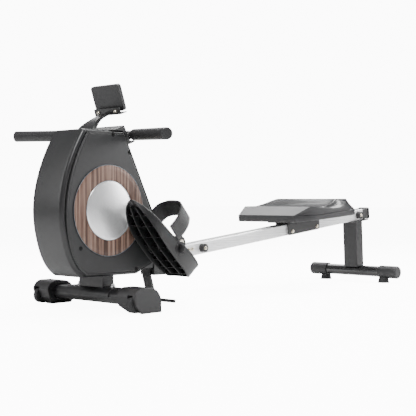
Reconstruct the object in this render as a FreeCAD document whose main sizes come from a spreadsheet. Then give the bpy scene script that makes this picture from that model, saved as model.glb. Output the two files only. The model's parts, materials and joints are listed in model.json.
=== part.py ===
"""Compact folding rowing machine, drawn as a parametric FreeCAD document (millimetres).

X runs from the flywheel housing to the rear leg, Y is the width, Z is up and the floor is Z = 0.
Most pieces are drawn from the front stabiliser's centre line; the rail and everything on it are
drawn along the rail; each footplate is drawn from its own axle.
"""
import FreeCAD, Part
import math
import os

V = FreeCAD.Vector
AXIS_X = V(1, 0, 0)
AXIS_Y = V(0, 1, 0)
AXIS_Z = V(0, 0, 1)

DIMENSIONS = [
    ("front_x", -562.1), ("foot_tube_height", 38), ("foot_tube_flat", 30), ("foot_tube_length", 330),
    ("foot_tube_z", 37), ("foot_tube_x", -6), ("tube_wall", 2),
    ("cap_outer", 218), ("cap_inner", 147), ("wheel_radius", 22), ("wheel_width", 16),
    ("wheel_x", -46), ("wheel_z", 25), ("wheel_y", 199), ("wheel_pin_radius", 4),
    ("post_width", 100), ("post_depth", 40), ("post_top", 102), ("saddle_length", 184),
    ("beam_width", 52), ("beam_low", 102), ("beam_high", 146), ("beam_front", -20), ("beam_rear", 196),
    ("shell_width", 126), ("shell_round", 8), ("nose_x", -180), ("nose_z", 268),
    ("shell_top", 490), ("shell_bottom", 91), ("cover_inset", 16), ("cover_thickness", 5),
    ("dial_x", -17), ("dial_z", 270), ("ring_radius", 125), ("disc_radius", 81),
    ("ring_thickness", 3), ("disc_height", 9), ("screw_radius", 3.5),
    ("flywheel_radius", 104), ("flywheel_width", 22), ("axle_radius", 6), ("reel_x", 30),
    ("reel_z", 410), ("reel_radius", 30), ("pulley_radius", 32), ("belt_thickness", 2),
    ("bar_radius", 12.5), ("grip_radius", 16), ("bar_x", 73), ("bar_z", 483),
    ("bar_half_centre", 62), ("grip_end_x", -44), ("grip_end_y", 318), ("grip_end_z", 477.3),
    ("handle_roll", 1.76),
    ("strap_width", 28), ("cradle_half", 62), ("cradle_gap_half", 26),
    ("screen_width", 118), ("screen_height", 76), ("screen_depth", 10), ("screen_lean", 19),
    ("screen_x", 46), ("screen_z", 547),
    ("rail_x", 298), ("rail_z", 141), ("rail_angle", 6.2), ("rail_width", 40), ("rail_height", 38),
    ("rail_start", 10), ("rail_end", 970), ("rail_wall", 2.5), ("end_cap_length", 40),
    ("fold_u", 3), ("fold_w", 30), ("fold_pin_radius", 6), ("ear_radius", 21),
    ("ear_gap", 50), ("ear_thickness", 4),
    ("bumper_radius", 12.5), ("bumper_length", 16), ("bumper_front", 101), ("bumper_rear", 938),
    ("leg_u", 931), ("leg_width", 58), ("leg_depth", 40), ("rear_tube_radius", 19),
    ("rear_tube_x", 1237), ("rear_tube_z", 39), ("rear_tube_half", 176), ("rear_cap_radius", 22.5),
    ("rear_cap_length", 74), ("foot_y", 128), ("foot_top_radius", 16), ("foot_base_radius", 20.5),
    ("seat_front", 436), ("seat_rear", 780), ("seat_bottom", 32), ("seat_width", 316),
    ("carriage_front", 520), ("carriage_rear", 692), ("carriage_top", 46), ("carriage_half", 61),
    ("plate_inner", 24), ("plate_thickness", 4), ("roller_radius", 11), ("roller_width", 34),
    ("roller_first", 548), ("roller_second", 664), ("roller_w", 30.3),
    ("pedal_x", 130), ("pedal_z", 166), ("pedal_y", 139.5), ("pedal_pitch", 50),
    ("pedal_width", 114), ("pedal_axle_radius", 8), ("pedal_toe", 188), ("pedal_heel", 104),
    ("webbing_width", 52), ("webbing_thickness", 3), ("webbing_height", 104),
]

doc = FreeCAD.newDocument("RowingMachine")


def make_sheet():
    """Write the driving dimensions to a spreadsheet, one named cell each."""
    sheet = doc.addObject("Spreadsheet::Sheet", "Sizes")
    for row, (alias, value) in enumerate(DIMENSIONS, start=1):
        sheet.set("A%d" % row, alias)
        sheet.set("B%d" % row, str(value))
        sheet.setAlias("B%d" % row, alias)
    doc.recompute()
    return sheet


SHEET = make_sheet()
SUB_PARTS = []


def size(alias):
    """Read one driving dimension as a plain number."""
    return float(SHEET.get(alias))


def bind(obj, **expressions):
    """Bind properties to the sheet; every name in an expression is a cell's alias."""
    names = sorted((alias for alias, _ in DIMENSIONS), key=len, reverse=True)
    for prop, text in expressions.items():
        words = text.split(" ")
        full = ["Sizes." + word if word in names else word for word in words]
        obj.setExpression(prop, " ".join(full))


# ---------------------------------------------------------------- frames of reference

def machine_frame():
    """From the front stabiliser's centre line to the row's origin at mid length."""
    return FreeCAD.Placement(V(size("front_x"), 0, 0), FreeCAD.Rotation())


def rail_frame():
    """Along the rail's centre line, starting under the fold pin."""
    base = V(size("front_x") + size("rail_x"), 0, size("rail_z"))
    return FreeCAD.Placement(base, FreeCAD.Rotation(AXIS_Y, -size("rail_angle")))


def pedal_frame(side):
    """At a footplate's axle: X towards the heel, Z out of the sole's top."""
    base = V(size("front_x") + size("pedal_x"), side * size("pedal_y"), size("pedal_z"))
    return FreeCAD.Placement(base, FreeCAD.Rotation(AXIS_Y, size("pedal_pitch")))


def screen_frame():
    """At the console's lower front edge, leaning away from the rower."""
    base = V(size("front_x") + size("screen_x"), 0, size("screen_z"))
    return FreeCAD.Placement(base, FreeCAD.Rotation(AXIS_Y, -size("screen_lean")))


def publish(label, obj, frame):
    """Name a finished sub-part and put it in its place."""
    obj.Label = label
    obj.Placement = frame.multiply(obj.Placement)
    SUB_PARTS.append(obj)
    return obj


# ---------------------------------------------------------------- drawing helpers

def place(obj, x, y, z, rotation=None):
    obj.Placement = FreeCAD.Placement(V(x, y, z), rotation or FreeCAD.Rotation())
    return obj


def box(centre, **lengths):
    """A block of bound Length, Width and Height centred on a point."""
    block = doc.addObject("Part::Box", "Block")
    bind(block, **lengths)
    doc.recompute()
    x, y, z = centre
    half = (block.Length.Value / 2, block.Width.Value / 2, block.Height.Value / 2)
    return place(block, x - half[0], y - half[1], z - half[2])


def rod(start, axis, radius, length):
    """A round bar from a point along an axis; radius and length are expressions."""
    bar = doc.addObject("Part::Cylinder", "Rod")
    bind(bar, Radius=radius, Height=length)
    return place(bar, start[0], start[1], start[2], FreeCAD.Rotation(AXIS_Z, axis))


def cross_rod(x, z, radius, length, y=0.0):
    """A round bar along Y whose middle is at y."""
    bar = rod((x, y, z), AXIS_Y, radius, length)
    doc.recompute()
    bar.Placement.Base.y = y - bar.Height.Value / 2
    return bar


def cut(base, tool):
    result = doc.addObject("Part::Cut", "Cut")
    result.Base = base
    result.Tool = tool
    return result


def common(first, second):
    result = doc.addObject("Part::Common", "Common")
    result.Base = first
    result.Tool = second
    return result


def fuse(*shapes):
    result = doc.addObject("Part::MultiFuse", "Fuse")
    result.Shapes = list(shapes)
    return result


def group(*shapes):
    result = doc.addObject("Part::Compound", "Group")
    result.Links = list(shapes)
    return result


def edges_of(outline, closed=True):
    """Edges through points; a point given as ('arc', mid, end) makes an arc."""
    points = list(outline)
    start = points[0]
    here = start
    made = []
    for item in points[1:] + ([start] if closed else []):
        if item[0] == "arc":
            middle, end = item[1], item[2]
            made.append(Part.Arc(V(here[0], here[1], 0), V(middle[0], middle[1], 0),
                                 V(end[0], end[1], 0)))
            here = end
        elif math.dist(here, item) > 1e-6:
            made.append(Part.LineSegment(V(here[0], here[1], 0), V(item[0], item[1], 0)))
            here = item
    return made


def circle(x, z, radius):
    return [Part.Circle(V(x, z, 0), V(0, 0, 1), radius)]


def sketch_on(body, role, geometry, offset=0.0):
    """A sketch on one of the body's own origin planes."""
    plane = [f for f in body.Origin.OriginFeatures if f.Role == role][0]
    sketch = body.newObject("Sketcher::SketchObject", "Outline")
    sketch.AttachmentSupport = (plane, [""])
    sketch.MapMode = "FlatFace"
    sketch.AttachmentOffset = FreeCAD.Placement(V(0, 0, offset), FreeCAD.Rotation())
    for item in geometry:
        sketch.addGeometry(item, False)
    return sketch


def side_body(geometry, width, y=0.0):
    """A body padded along Y, both ways from the plane at y, to a bound width."""
    return padded_body("XZ_Plane", geometry, width, -y)


def padded_body(role, geometry, width, offset=0.0):
    body = doc.addObject("PartDesign::Body", "Body")
    pad = body.newObject("PartDesign::Pad", "Pad")
    pad.Profile = sketch_on(body, role, geometry, offset)
    pad.Midplane = True
    bind(pad, Length=width)
    doc.recompute()
    return body


def pocket(body, geometry, depth, role="XZ_Plane", offset=0.0):
    """Cut a body both ways from a plane, and make sure that something went."""
    before = body.Shape.Volume
    feature = body.newObject("PartDesign::Pocket", "Pocket")
    feature.Profile = sketch_on(body, role, geometry, offset)
    feature.Midplane = True
    bind(feature, Length=depth)
    doc.recompute()
    if body.Shape.Volume > before - 1e-3:
        raise RuntimeError("a pocket in %s cut nothing" % body.Name)
    return body


def round_edges(body, radius, test):
    """Fillet the edges of a body that pass a test."""
    names = ["Edge%d" % (i + 1) for i, edge in enumerate(body.Shape.Edges) if test(edge)]
    base = body.Tip
    fillet = body.newObject("PartDesign::Fillet", "Round")
    fillet.Base = (base, names)
    bind(fillet, Radius=radius)
    doc.recompute()
    if "Invalid" in fillet.State:
        raise RuntimeError("a fillet in %s failed" % body.Name)
    return body


def spun_body(points):
    """A body turned about the Y axis from (radius, y) points; its axis is at the origin."""
    body = doc.addObject("PartDesign::Body", "Body")
    outline = sketch_on(body, "XY_Plane", edges_of(points))
    turn = body.newObject("PartDesign::Revolution", "Turned")
    turn.Profile = outline
    turn.ReferenceAxis = (outline, ["V_Axis"])
    turn.Angle = 360
    doc.recompute()
    return body


def solid(label, shape):
    """A free shape for a form that no primitive or sketch makes."""
    feature = doc.addObject("Part::Feature", label)
    feature.Shape = shape
    return feature


def at_y(limit):
    """An edge test: the edge lies wholly in the plane |Y| = limit."""
    return lambda edge: all(abs(abs(v.Y) - limit) < 0.01 for v in edge.Vertexes) and (
        abs(abs(edge.CenterOfMass.y) - limit) < 0.01)


# ---------------------------------------------------------------- front foot

DIAGONAL = math.sqrt(0.5)

def front_foot():
    frame = machine_frame()
    x, z = size("foot_tube_x"), size("foot_tube_z")
    radius, flat = size("foot_tube_height") / 2, size("foot_tube_flat") / 2

    def oval(r):
        return edges_of([(x - flat, z - r), (x + flat, z - r), ("arc", (x + flat + r, z), (x + flat, z + r)),
                         (x - flat, z + r), ("arc", (x - flat - r, z), (x - flat, z - r))])
    tube = side_body(oval(radius), "foot_tube_length")
    pocket(tube, oval(radius - size("tube_wall")), "foot_tube_length + 2")
    publish("front_stabiliser", tube, frame)

    plate = 3.5
    top = z + radius
    saddle = side_body(edges_of([
        (x - flat, top), (x + flat, top), ("arc", (x + flat + DIAGONAL * radius, z + DIAGONAL * radius),
                                           (x + flat + radius, z)),
        (x + flat + radius + plate, z),
        ("arc", (x + flat + DIAGONAL * (radius + plate), z + DIAGONAL * (radius + plate)),
        (x + flat, top + plate)),
        (x - flat, top + plate),
        ("arc", (x - flat - DIAGONAL * (radius + plate), z + DIAGONAL * (radius + plate)),
         (x - flat - radius - plate, z)),
        (x - flat - radius, z), ("arc", (x - flat - DIAGONAL * radius, z + DIAGONAL * radius),
        (x - flat, top))]),
        "saddle_length")

    post_low = top + plate
    post = box((x, 0, (post_low + size("post_top")) / 2), Length="post_depth", Width="post_width",
               Height="post_top - foot_tube_z - foot_tube_height / 2 - 3.5")
    publish("frame_post", fuse(saddle, post, *axle_cheeks()), frame)

    studs = []
    for side in (-1, 1):
        spot = (x, side * 70, post_low)
        head = rod(spot, AXIS_Z, "screw_radius + 3.5", "5")
        dome = doc.addObject("Part::Sphere", "Dome")
        bind(dome, Radius="screw_radius + 2")
        place(dome, x, side * 70, post_low + 7)
        studs.append(fuse(head, dome))
    publish("saddle_bolts", group(*studs), frame)
    front_caps(frame)


def axle_cheeks():
    """Two upright plates on the post that hold the flywheel's and the reel's axles."""
    x, z, low = size("dial_x"), size("dial_z"), size("post_top")
    reel_x, reel_z = size("reel_x"), size("reel_z")
    cheeks = []
    for side in (-1, 1):
        outline = edges_of([(-20, low), (14, low), (48, reel_z - 12), ("arc", (reel_x, reel_z + 18),
                                                                        (12, reel_z - 12)),
                            (x - 16, z), (-20, 150)])
        cheek = side_body(outline, "4", side * 47)
        pocket(cheek, circle(x, z, size("axle_radius")), "20", offset=-side * 47)
        pocket(cheek, circle(reel_x, reel_z, size("axle_radius")), "20", offset=-side * 47)
        cheeks.append(cheek)
    return cheeks


def front_caps(frame):
    """Moulded end caps with a slot at the front for a transport wheel."""
    outer, inner = size("cap_outer"), size("cap_inner")
    middle = (outer + inner) / 2
    arch = [(-32, 0), (37, 0), (37, 27), ("arc", (23, 57), (-6, 68)), (-30, 68),
            ("arc", (-52, 60), (-61, 44)), (-54, 20)]
    x, z = size("wheel_x"), size("wheel_z")
    for side, word in ((-1, "left"), (1, "right")):
        cap = side_body(edges_of(arch), "cap_outer - cap_inner", side * middle)
        round_edges(cap, "3", at_y(outer))
        slot = size("wheel_y") * side
        pocket(cap, edges_of([(-90, -10), (x + 24, -10), (x + 24, 26), ("arc", (x + 16, 44), (x, 50)),
                              (-90, 50)]), "wheel_width + 4", offset=-slot)
        flat, radius, tube_z = size("foot_tube_flat") / 2, size("foot_tube_height") / 2, size("foot_tube_z")
        tube_x = size("foot_tube_x")
        oval = edges_of([(tube_x - flat, tube_z - radius), (tube_x + flat, tube_z - radius),
                         ("arc", (tube_x + flat + radius, tube_z), (tube_x + flat, tube_z + radius)),
                         (tube_x - flat, tube_z + radius),
                         ("arc", (tube_x - flat - radius, tube_z), (tube_x - flat, tube_z - radius))])
        pocket(cap, oval, "( foot_tube_length / 2 - cap_inner ) * 2", offset=-side * inner)
        bevel = edges_of([(side * (inner - 5), -5), (side * (inner + 22), -5), (side * (inner - 5), 24)])
        pocket(cap, bevel, "300", role="YZ_Plane")
        publish("front_cap_" + word, cap, frame)

        rim, half = size("wheel_radius"), size("wheel_width") / 2
        hole = size("wheel_pin_radius") + 0.05
        wheel = spun_body([(hole, -half), (rim - 3, -half), ("arc", (rim - 0.9, -half + 0.9),
                          (rim, -half + 3)),
                           (rim, half - 3), ("arc", (rim - 0.9, half - 0.9), (rim - 3, half)), (hole, half)])
        wheel.Placement = FreeCAD.Placement(V(x, slot, z), FreeCAD.Rotation())
        publish("transport_wheel_" + word, wheel, frame)
    pins = [cross_rod(x, z, "wheel_pin_radius", "wheel_width + 4", side * size("wheel_y"))
            for side in (-1, 1)]
    publish("wheel_pins", group(*pins), frame)


# ---------------------------------------------------------------- frame

def main_frame():
    frame = machine_frame()
    low, high = size("beam_low"), size("beam_high")
    front, rear = size("beam_front"), size("beam_rear")
    wall = 3
    beam = side_body(edges_of([(front, low), (rear, low), (rear, high), (front, high)]), "beam_width")
    pocket(beam, edges_of([(front + wall, low + wall), (rear - wall, low + wall), (rear - wall, high - wall),
                           (front + wall, high - wall)]), "beam_width - 6")
    x, z = size("pedal_x"), size("pedal_z")
    bore = size("pedal_axle_radius")
    sleeve = side_body(edges_of([(x - 14, high), (x + 14, high), (x + 14, z),
                                 ("arc", (x, z + 14), (x - 14, z))]), "shell_width - 8")
    pocket(sleeve, circle(x, z, bore), "shell_width")
    publish("frame_beam", fuse(beam, sleeve), frame)

    fold_bracket(frame)

    strut = side_body(edges_of([(183, 101), (189, 101), (189, 80), (211, 12), (203, 8), (183, 76)]), "32")
    bar = cross_rod(206, 8, "5", "190")
    publish("mid_strut", fuse(strut, bar), frame)


def fold_pin_spot():
    """The fold pin's X and Z, measured from the front stabiliser."""
    spot = rail_frame().multVec(V(size("fold_u"), 0, size("fold_w")))
    return spot.x - size("front_x"), spot.z


def fold_bracket(frame):
    """A folded-plate box behind the housing whose ears carry the rail's fold pin."""
    x, z = fold_pin_spot()
    ear, low = size("ear_radius"), 80
    start = 189
    cheek = edges_of([(start, low), (258, low), (x + 10, z - 22), ("arc", (x + ear, z), (x, z + ear)),
                      (start, z + ear)])
    body = side_body(cheek, "ear_gap + 2 * ear_thickness")
    hollow = edges_of([(start + 4, low + 4), (400, low + 4), (400, 250), (start + 4, 250)])
    pocket(body, hollow, "ear_gap")
    pocket(body, circle(x, z, size("fold_pin_radius")), "ear_gap + 40")
    slot = edges_of([(start - 10, size("beam_low")), (size("beam_rear"), size("beam_low")),
                     (size("beam_rear"), size("beam_high")), (start - 10, size("beam_high"))])
    pocket(body, slot, "beam_width")
    publish("fold_bracket", body, frame)

    pin = cross_rod(x, z, "fold_pin_radius", "ear_gap + 2 * ear_thickness")
    heads = [cross_rod(x, z, "fold_pin_radius + 3.5", "5", side * (size("ear_gap") / 2 + 6.5))
             for side in (-1, 1)]
    publish("fold_pin", fuse(pin, *heads), frame)


# ---------------------------------------------------------------- housing

def rounded_corner(before, corner, after, radius):
    """The start, middle and end of the arc that rounds a corner."""
    here = V(corner[0], corner[1], 0)
    one = V(before[0], before[1], 0).sub(here).normalize()
    two = V(after[0], after[1], 0).sub(here).normalize()
    half = one.getAngle(two) / 2
    back = radius / math.tan(half)
    depth = radius / math.sin(half) - radius
    middle = here.add(one.add(two).normalize().multiply(depth))
    start, end = here.add(one.multiply(back)), here.add(two.multiply(back))
    return (start.x, start.y), (middle.x, middle.y), (end.x, end.y)


def inset_corners(corners, edge):
    """Corners of an open run of straight sides after each side moves left by edge."""
    sides = []
    for (ax, az), (bx, bz) in zip(corners, corners[1:]):
        length = math.dist((ax, az), (bx, bz))
        ux, uz = (bx - ax) / length, (bz - az) / length
        sides.append((ax - uz * edge, az + ux * edge, ux, uz))
    moved = []
    for (px, pz, ux, uz), (qx, qz, vx, vz) in zip(sides, sides[1:]):
        step = ((qx - px) * vz - (qz - pz) * vx) / (ux * vz - uz * vx)
        moved.append((px + step * ux, pz + step * uz))
    return moved


def housing_outline(inset, edge):
    """The teardrop seen from the side, drawn in at the nose by inset and elsewhere by edge."""
    nose, mid = size("nose_x") + inset, size("nose_z")
    top, bottom = size("shell_top") - edge, size("shell_bottom") + edge
    corners = [(-106, size("shell_bottom")), (92, size("shell_bottom")), (215, 142),
               (41.6, size("shell_top")), (-104, size("shell_top"))]
    sill, heel, crown = inset_corners(corners, edge)
    foot, brow = (-106 + 0.9 * inset, bottom), (-104 + 0.9 * inset, top)
    heel_in, heel_mid, heel_out = rounded_corner(sill, heel, crown, 36 - edge)
    crown_in, crown_mid, crown_out = rounded_corner(heel, crown, brow, 24 - edge)
    front = [brow, (-156 + inset, 390), (nose, mid), (-166 + 0.8 * inset, 181),
             (-136 + 0.8 * inset, 117 + 0.4 * edge), foot]
    curve = Part.BSplineCurve()
    curve.interpolate([V(x, z, 0) for x, z in front])
    rest = edges_of([foot, sill, heel_in, ("arc", heel_mid, heel_out), crown_in,
                     ("arc", crown_mid, crown_out), brow], closed=False)
    return rest + [curve]


def housing():
    frame = machine_frame()
    inset, thick = size("cover_inset"), size("cover_thickness")
    half = size("shell_width") / 2

    shell = side_body(housing_outline(0, 0), "shell_width")
    round_edges(shell, "shell_round", at_y(half))
    pocket(shell, housing_outline(inset + 6, 10), "shell_width")
    groove = housing_outline(inset - 3, 0.6)
    pocket(shell, groove, "6", offset=half)
    pocket(shell, groove, "6", offset=-half)
    pocket(shell, edges_of([(88, 95), (215, 95), (215, 196), (88, 196)]), "ear_gap + 2 * ear_thickness")
    pocket(shell, edges_of([(28, 440), (80, 440), (80, 485), (28, 485)]), "cradle_gap_half + 10")
    pocket(shell, edges_of([(-30, 80), (18, 80), (18, 110), (-30, 110)]), "post_width")
    publish("centre_shell", shell, frame)

    x, z = size("pedal_x"), size("pedal_z")
    screws = []
    for side, word in ((-1, "left"), (1, "right")):
        middle = side * (half - 3 + thick / 2 + 1)
        cover = side_body(housing_outline(inset, 4), "cover_thickness + 2", middle)
        face = half - 3 + thick + 2
        round_edges(cover, "1.5", at_y(face))
        pocket(cover, circle(x, z, size("pedal_axle_radius") + 3), "40", offset=-middle)
        publish(word + "_side_cover", cover, frame)
        dial(word, side, face, frame)
        screws += cover_screws(side, face)
    publish("cover_screws", group(*screws), frame)


def dial(word, side, face, frame):
    """The wood-look ring and the domed disc in the middle of a side cover."""
    x, z = size("dial_x"), size("dial_z")
    ring = side_body(circle(x, z, size("ring_radius")), "ring_thickness",
                     side * (face + size("ring_thickness") / 2))
    pocket(ring, circle(x, z, size("disc_radius")), "200")
    publish(word + "_wood_ring", ring, frame)

    radius, rise = size("disc_radius"), size("disc_height")
    rim, top = side * size("ring_thickness"), side * rise
    disc = spun_body([(0, 0), (radius, 0), (radius, rim),
                      ("arc", (radius * 0.6, side * (rise - 1.6)), (4, top)), (0, top)])
    disc.Placement = FreeCAD.Placement(V(x, side * face, z), FreeCAD.Rotation())
    publish(word + "_centre_disc", disc, frame)


def cover_screws(side, face):
    spots = [(-2, 478), (58, 431), (-116, 170), (84, 106), (168, 186)]
    return [cross_rod(x, z, "screw_radius", "1.2", side * (face + 0.6)) for x, z in spots]


# ---------------------------------------------------------------- drive inside the housing

def drive():
    frame = machine_frame()
    x, z = size("dial_x"), size("dial_z")
    rim, half, bore = size("flywheel_radius"), size("flywheel_width") / 2, size("axle_radius") + 0.05
    wheel = spun_body([(bore, -half), (26, -half), (26, -5), (rim - 22, -5), (rim - 22, -half), (rim, -half),
                       (rim, half), (rim - 22, half), (rim - 22, 5), (26, 5), (26, half), (16, half),
                       (16, half + 10), (bore, half + 10)])
    wheel.Placement = FreeCAD.Placement(V(x, 0, z), FreeCAD.Rotation())
    publish("flywheel", wheel, frame)

    reel_x, reel_z = size("reel_x"), size("reel_z")
    drum, pulley = size("reel_radius"), size("pulley_radius")
    reel = spun_body([(bore, -15), (drum, -15), (drum, 13), (pulley - 8, 13), (pulley - 8, 14), (pulley, 14),
                      (pulley, 22), (pulley - 8, 22), (bore, 22)])
    reel.Placement = FreeCAD.Placement(V(reel_x, 0, reel_z), FreeCAD.Rotation())
    publish("strap_reel", reel, frame)
    axles = [cross_rod(spot[0], spot[1], "axle_radius", "shell_width - 8")
             for spot in ((x, z), (reel_x, reel_z))]
    publish("drive_axles", group(*axles), frame)
    drive_belt((x, z), 16.0, (reel_x, reel_z), pulley, frame)

    yoke_radius = rim + 4
    yoke = side_body(edges_of([
        (x - yoke_radius, z), ("arc", (x - DIAGONAL * yoke_radius, z - DIAGONAL * yoke_radius),
        (x, z - yoke_radius)),
        (x, z - yoke_radius - 8),
        ("arc", (x - DIAGONAL * (yoke_radius + 8), z - DIAGONAL * (yoke_radius + 8)),
        (x - yoke_radius - 8, z))]),
        "flywheel_width")
    publish("magnet_yoke", yoke, frame)


def drive_belt(first, r1, second, r2, frame):
    """A flat belt round two pulleys of different radii, a little clear of both."""
    gap, thick = 0.4, size("belt_thickness")
    dx, dz = second[0] - first[0], second[1] - first[1]
    reach = math.hypot(dx, dz)
    heading = math.atan2(dz, dx)

    def loop(a, b):
        lean = math.acos((a - b) / reach)
        spots = []
        for centre, radius, sign in ((first, a, 1), (second, b, 1), (second, b, -1), (first, a, -1)):
            angle = heading + sign * lean
            spots.append((centre[0] + radius * math.cos(angle), centre[1] + radius * math.sin(angle)))
        far = (second[0] + b * math.cos(heading), second[1] + b * math.sin(heading))
        near = (first[0] - a * math.cos(heading), first[1] - a * math.sin(heading))
        return edges_of([spots[0], spots[1], ("arc", far, spots[2]), spots[3], ("arc", near, spots[0])])
    belt = side_body(loop(r1 + gap + thick, r2 + gap + thick), "7", 18)
    pocket(belt, loop(r1 + gap, r2 + gap), "20", offset=-18)
    publish("drive_belt", belt, frame)


# ---------------------------------------------------------------- handle and its cradle

def grip_line(side):
    """A grip's start at the bend, its end, and the unit vector between them.

    The handle hangs in its cradle with a slight roll, lower at the left grip.
    """
    slope = math.tan(math.radians(size("handle_roll")))
    half, reach = side * size("bar_half_centre"), side * size("grip_end_y")
    start = V(size("bar_x"), half, size("bar_z") + half * slope)
    end = V(size("grip_end_x"), reach, size("grip_end_z") + reach * slope)
    along = end.sub(start)
    return start, end, along.normalize()


def handle_path():
    """The handle's centre line: straight at the cradle, swept forward to each grip."""
    bend = 42.0
    left, left_end, left_way = grip_line(-1)
    right, right_end, right_way = grip_line(1)
    across = right.sub(left).normalize()
    turn = left_way.getAngle(across.negative())
    back = bend * math.tan(turn / 2)
    lift = bend / math.cos(turn / 2) - bend

    def corner(point, way, inward):
        one = point.add(V(across).multiply(inward * back))
        two = point.add(V(way).multiply(back))
        middle = one.add(two).multiply(0.5)
        inside = middle.sub(point).normalize()
        return one, point.add(inside.multiply(lift)), two
    a, b, c = corner(left, left_way, 1)
    d, e, f = corner(right, right_way, -1)
    return Part.Wire([Part.LineSegment(left_end, c).toShape(), Part.Arc(c, b, a).toShape(),
                      Part.LineSegment(a, d).toShape(), Part.Arc(d, e, f).toShape(),
                      Part.LineSegment(f, right_end).toShape()])


def handle():
    frame = machine_frame()
    path = handle_path()
    radius = size("bar_radius")
    start = path.Vertexes[0].Point
    way = grip_line(-1)[2]
    ring = Part.Wire(Part.makeCircle(radius, start, way.negative()))
    bar = path.makePipeShell([ring], True, False)
    publish("handle_bar", solid("HandleBar", bar), frame)

    for side, word in ((-1, "left"), (1, "right")):
        begin, end, way = grip_line(side)
        first = begin.add(V(way).multiply(17))
        length = end.sub(first).Length - 3
        grip = Part.makeCylinder(size("grip_radius"), length, first, way)
        grip = grip.cut(Part.makeCylinder(radius, length + 2, first.sub(V(way)), way))
        publish("grip_" + word, solid("Grip", grip), frame)
    domes = []
    for side in (-1, 1):
        begin, end, way = grip_line(side)
        base = end.sub(V(way).multiply(3))
        plug = Part.makeCylinder(size("grip_radius"), 8, base, way)
        plug = plug.makeFillet(5, [e for e in plug.Edges if e.CenterOfMass.distanceToPoint(base) > 7])
        plug = plug.cut(Part.makeCylinder(radius, 3, base, way))
        domes.append(solid("GripCap", plug))
    publish("grip_end_caps", group(*domes), frame)

    x, z = size("bar_x"), size("bar_z")
    clamp = side_body(circle(x, z, radius + 5), "34")
    pocket(clamp, circle(x, z, radius), "40")
    clamp.Placement = FreeCAD.Placement(V(0, 0, 0), FreeCAD.Rotation(AXIS_X, size("handle_roll")),
                                        V(x, 0, z))
    publish("strap_clamp", clamp, frame)

    band = side_body(edges_of([(32, 448), (34, 446.5), (60.5, 468.2), (59, 470)]), "strap_width")
    publish("pull_strap", band, frame)
    cradle(frame)


def cradle(frame):
    """The hood on the housing's rear top edge: its sloping back and lip hold the handle."""
    hood = side_body(edges_of([(-22, 490.2), ("arc", (14, 494), (42, 506)), (66, 464), (81, 466), (82, 462),
                               (64, 455), (60, 454), (48, 477), ("arc", (40, 487), (26, 490.2))]),
                     "cradle_half * 2")
    gap = edges_of([(46, 440), (100, 440), (100, 520), (40, 520), (46, 500)])
    pocket(hood, gap, "cradle_gap_half * 2")
    publish("handle_cradle", hood, frame)


# ---------------------------------------------------------------- console

HINGE_X, HINGE_Z = -4.0, 3.0


def console():
    frame = machine_frame()
    sections = [(-50, -40, size("shell_top"), 32), (-36, -24, 502, 27), (-16, -6, 517, 18), (6, 14, 529, 14),
                (28, 34, 538, 14)]
    wires = []
    for x_front, x_rear, z, half in sections:
        tilt = 4 if x_front > -40 else 0
        corners = [V(x_front, -half, z + tilt), V(x_rear, -half, z), V(x_rear, half, z),
                   V(x_front, half, z + tilt)]
        wires.append(Part.makePolygon(corners + corners[:1]))
    arm = solid("ConsoleArm", Part.makeLoft(wires, True, False))

    tilt = screen_frame()
    to_screen = tilt.inverse().multiply(frame)
    arm.Placement = to_screen
    shelf = box((0, 0, -5.5), Length="24", Width="screen_width - 10", Height="3")
    lip = box((-11, 0, 3), Length="2", Width="screen_width - 10", Height="20")
    gussets = [box((-6.5, side * 36, 2), Length="7", Width="2.5", Height="12") for side in (-1, 1)]
    gussets.append(cross_rod(HINGE_X, HINGE_Z, "2.5", "71"))
    publish("console_arm", fuse(arm, shelf, lip, *gussets), tilt)

    back = padded_body("YZ_Plane", rounded_rectangle(size("screen_width"), size("screen_height"), 9),
                       "screen_depth / 2", size("screen_depth") / 4)
    lugs = [cut(cross_rod(HINGE_X, HINGE_Z, "5", "10", side * 24),
                cross_rod(HINGE_X, HINGE_Z, "2.55", "12", side * 24)) for side in (-1, 1)]
    publish("console_back", fuse(back, *lugs), tilt)
    front = padded_body("YZ_Plane", rounded_rectangle(size("screen_width"), size("screen_height"), 9),
                        "screen_depth / 2", size("screen_depth") * 3 / 4)
    window = rounded_rectangle(size("screen_width") - 26, size("screen_height") - 26, 4)
    pocket(front, window, "4", role="YZ_Plane", offset=size("screen_depth"))
    publish("console_front", front, tilt)
    glass = padded_body("YZ_Plane", window, "1.5", size("screen_depth") - 1.25)
    publish("console_window", glass, tilt)
    bolts = [rod((-16, side * 36, 3), AXIS_X, "5", "4") for side in (-1, 1)]
    publish("console_bolts", group(*bolts), tilt)


def rounded_rectangle(width, height, radius):
    """A rectangle standing on the plane's first axis, with round corners."""
    a, b, r = width / 2, height, radius
    c = r * (1 - math.sqrt(0.5))
    return edges_of([(-a + r, 0), (a - r, 0), ("arc", (a - c, c), (a, r)), (a, b - r),
                     ("arc", (a - c, b - c), (a - r, b)), (-a + r, b), ("arc", (-a + c, b - c), (-a, b - r)),
                     (-a, r), ("arc", (-a + c, c), (-a + r, 0))])


# ---------------------------------------------------------------- rail

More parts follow.
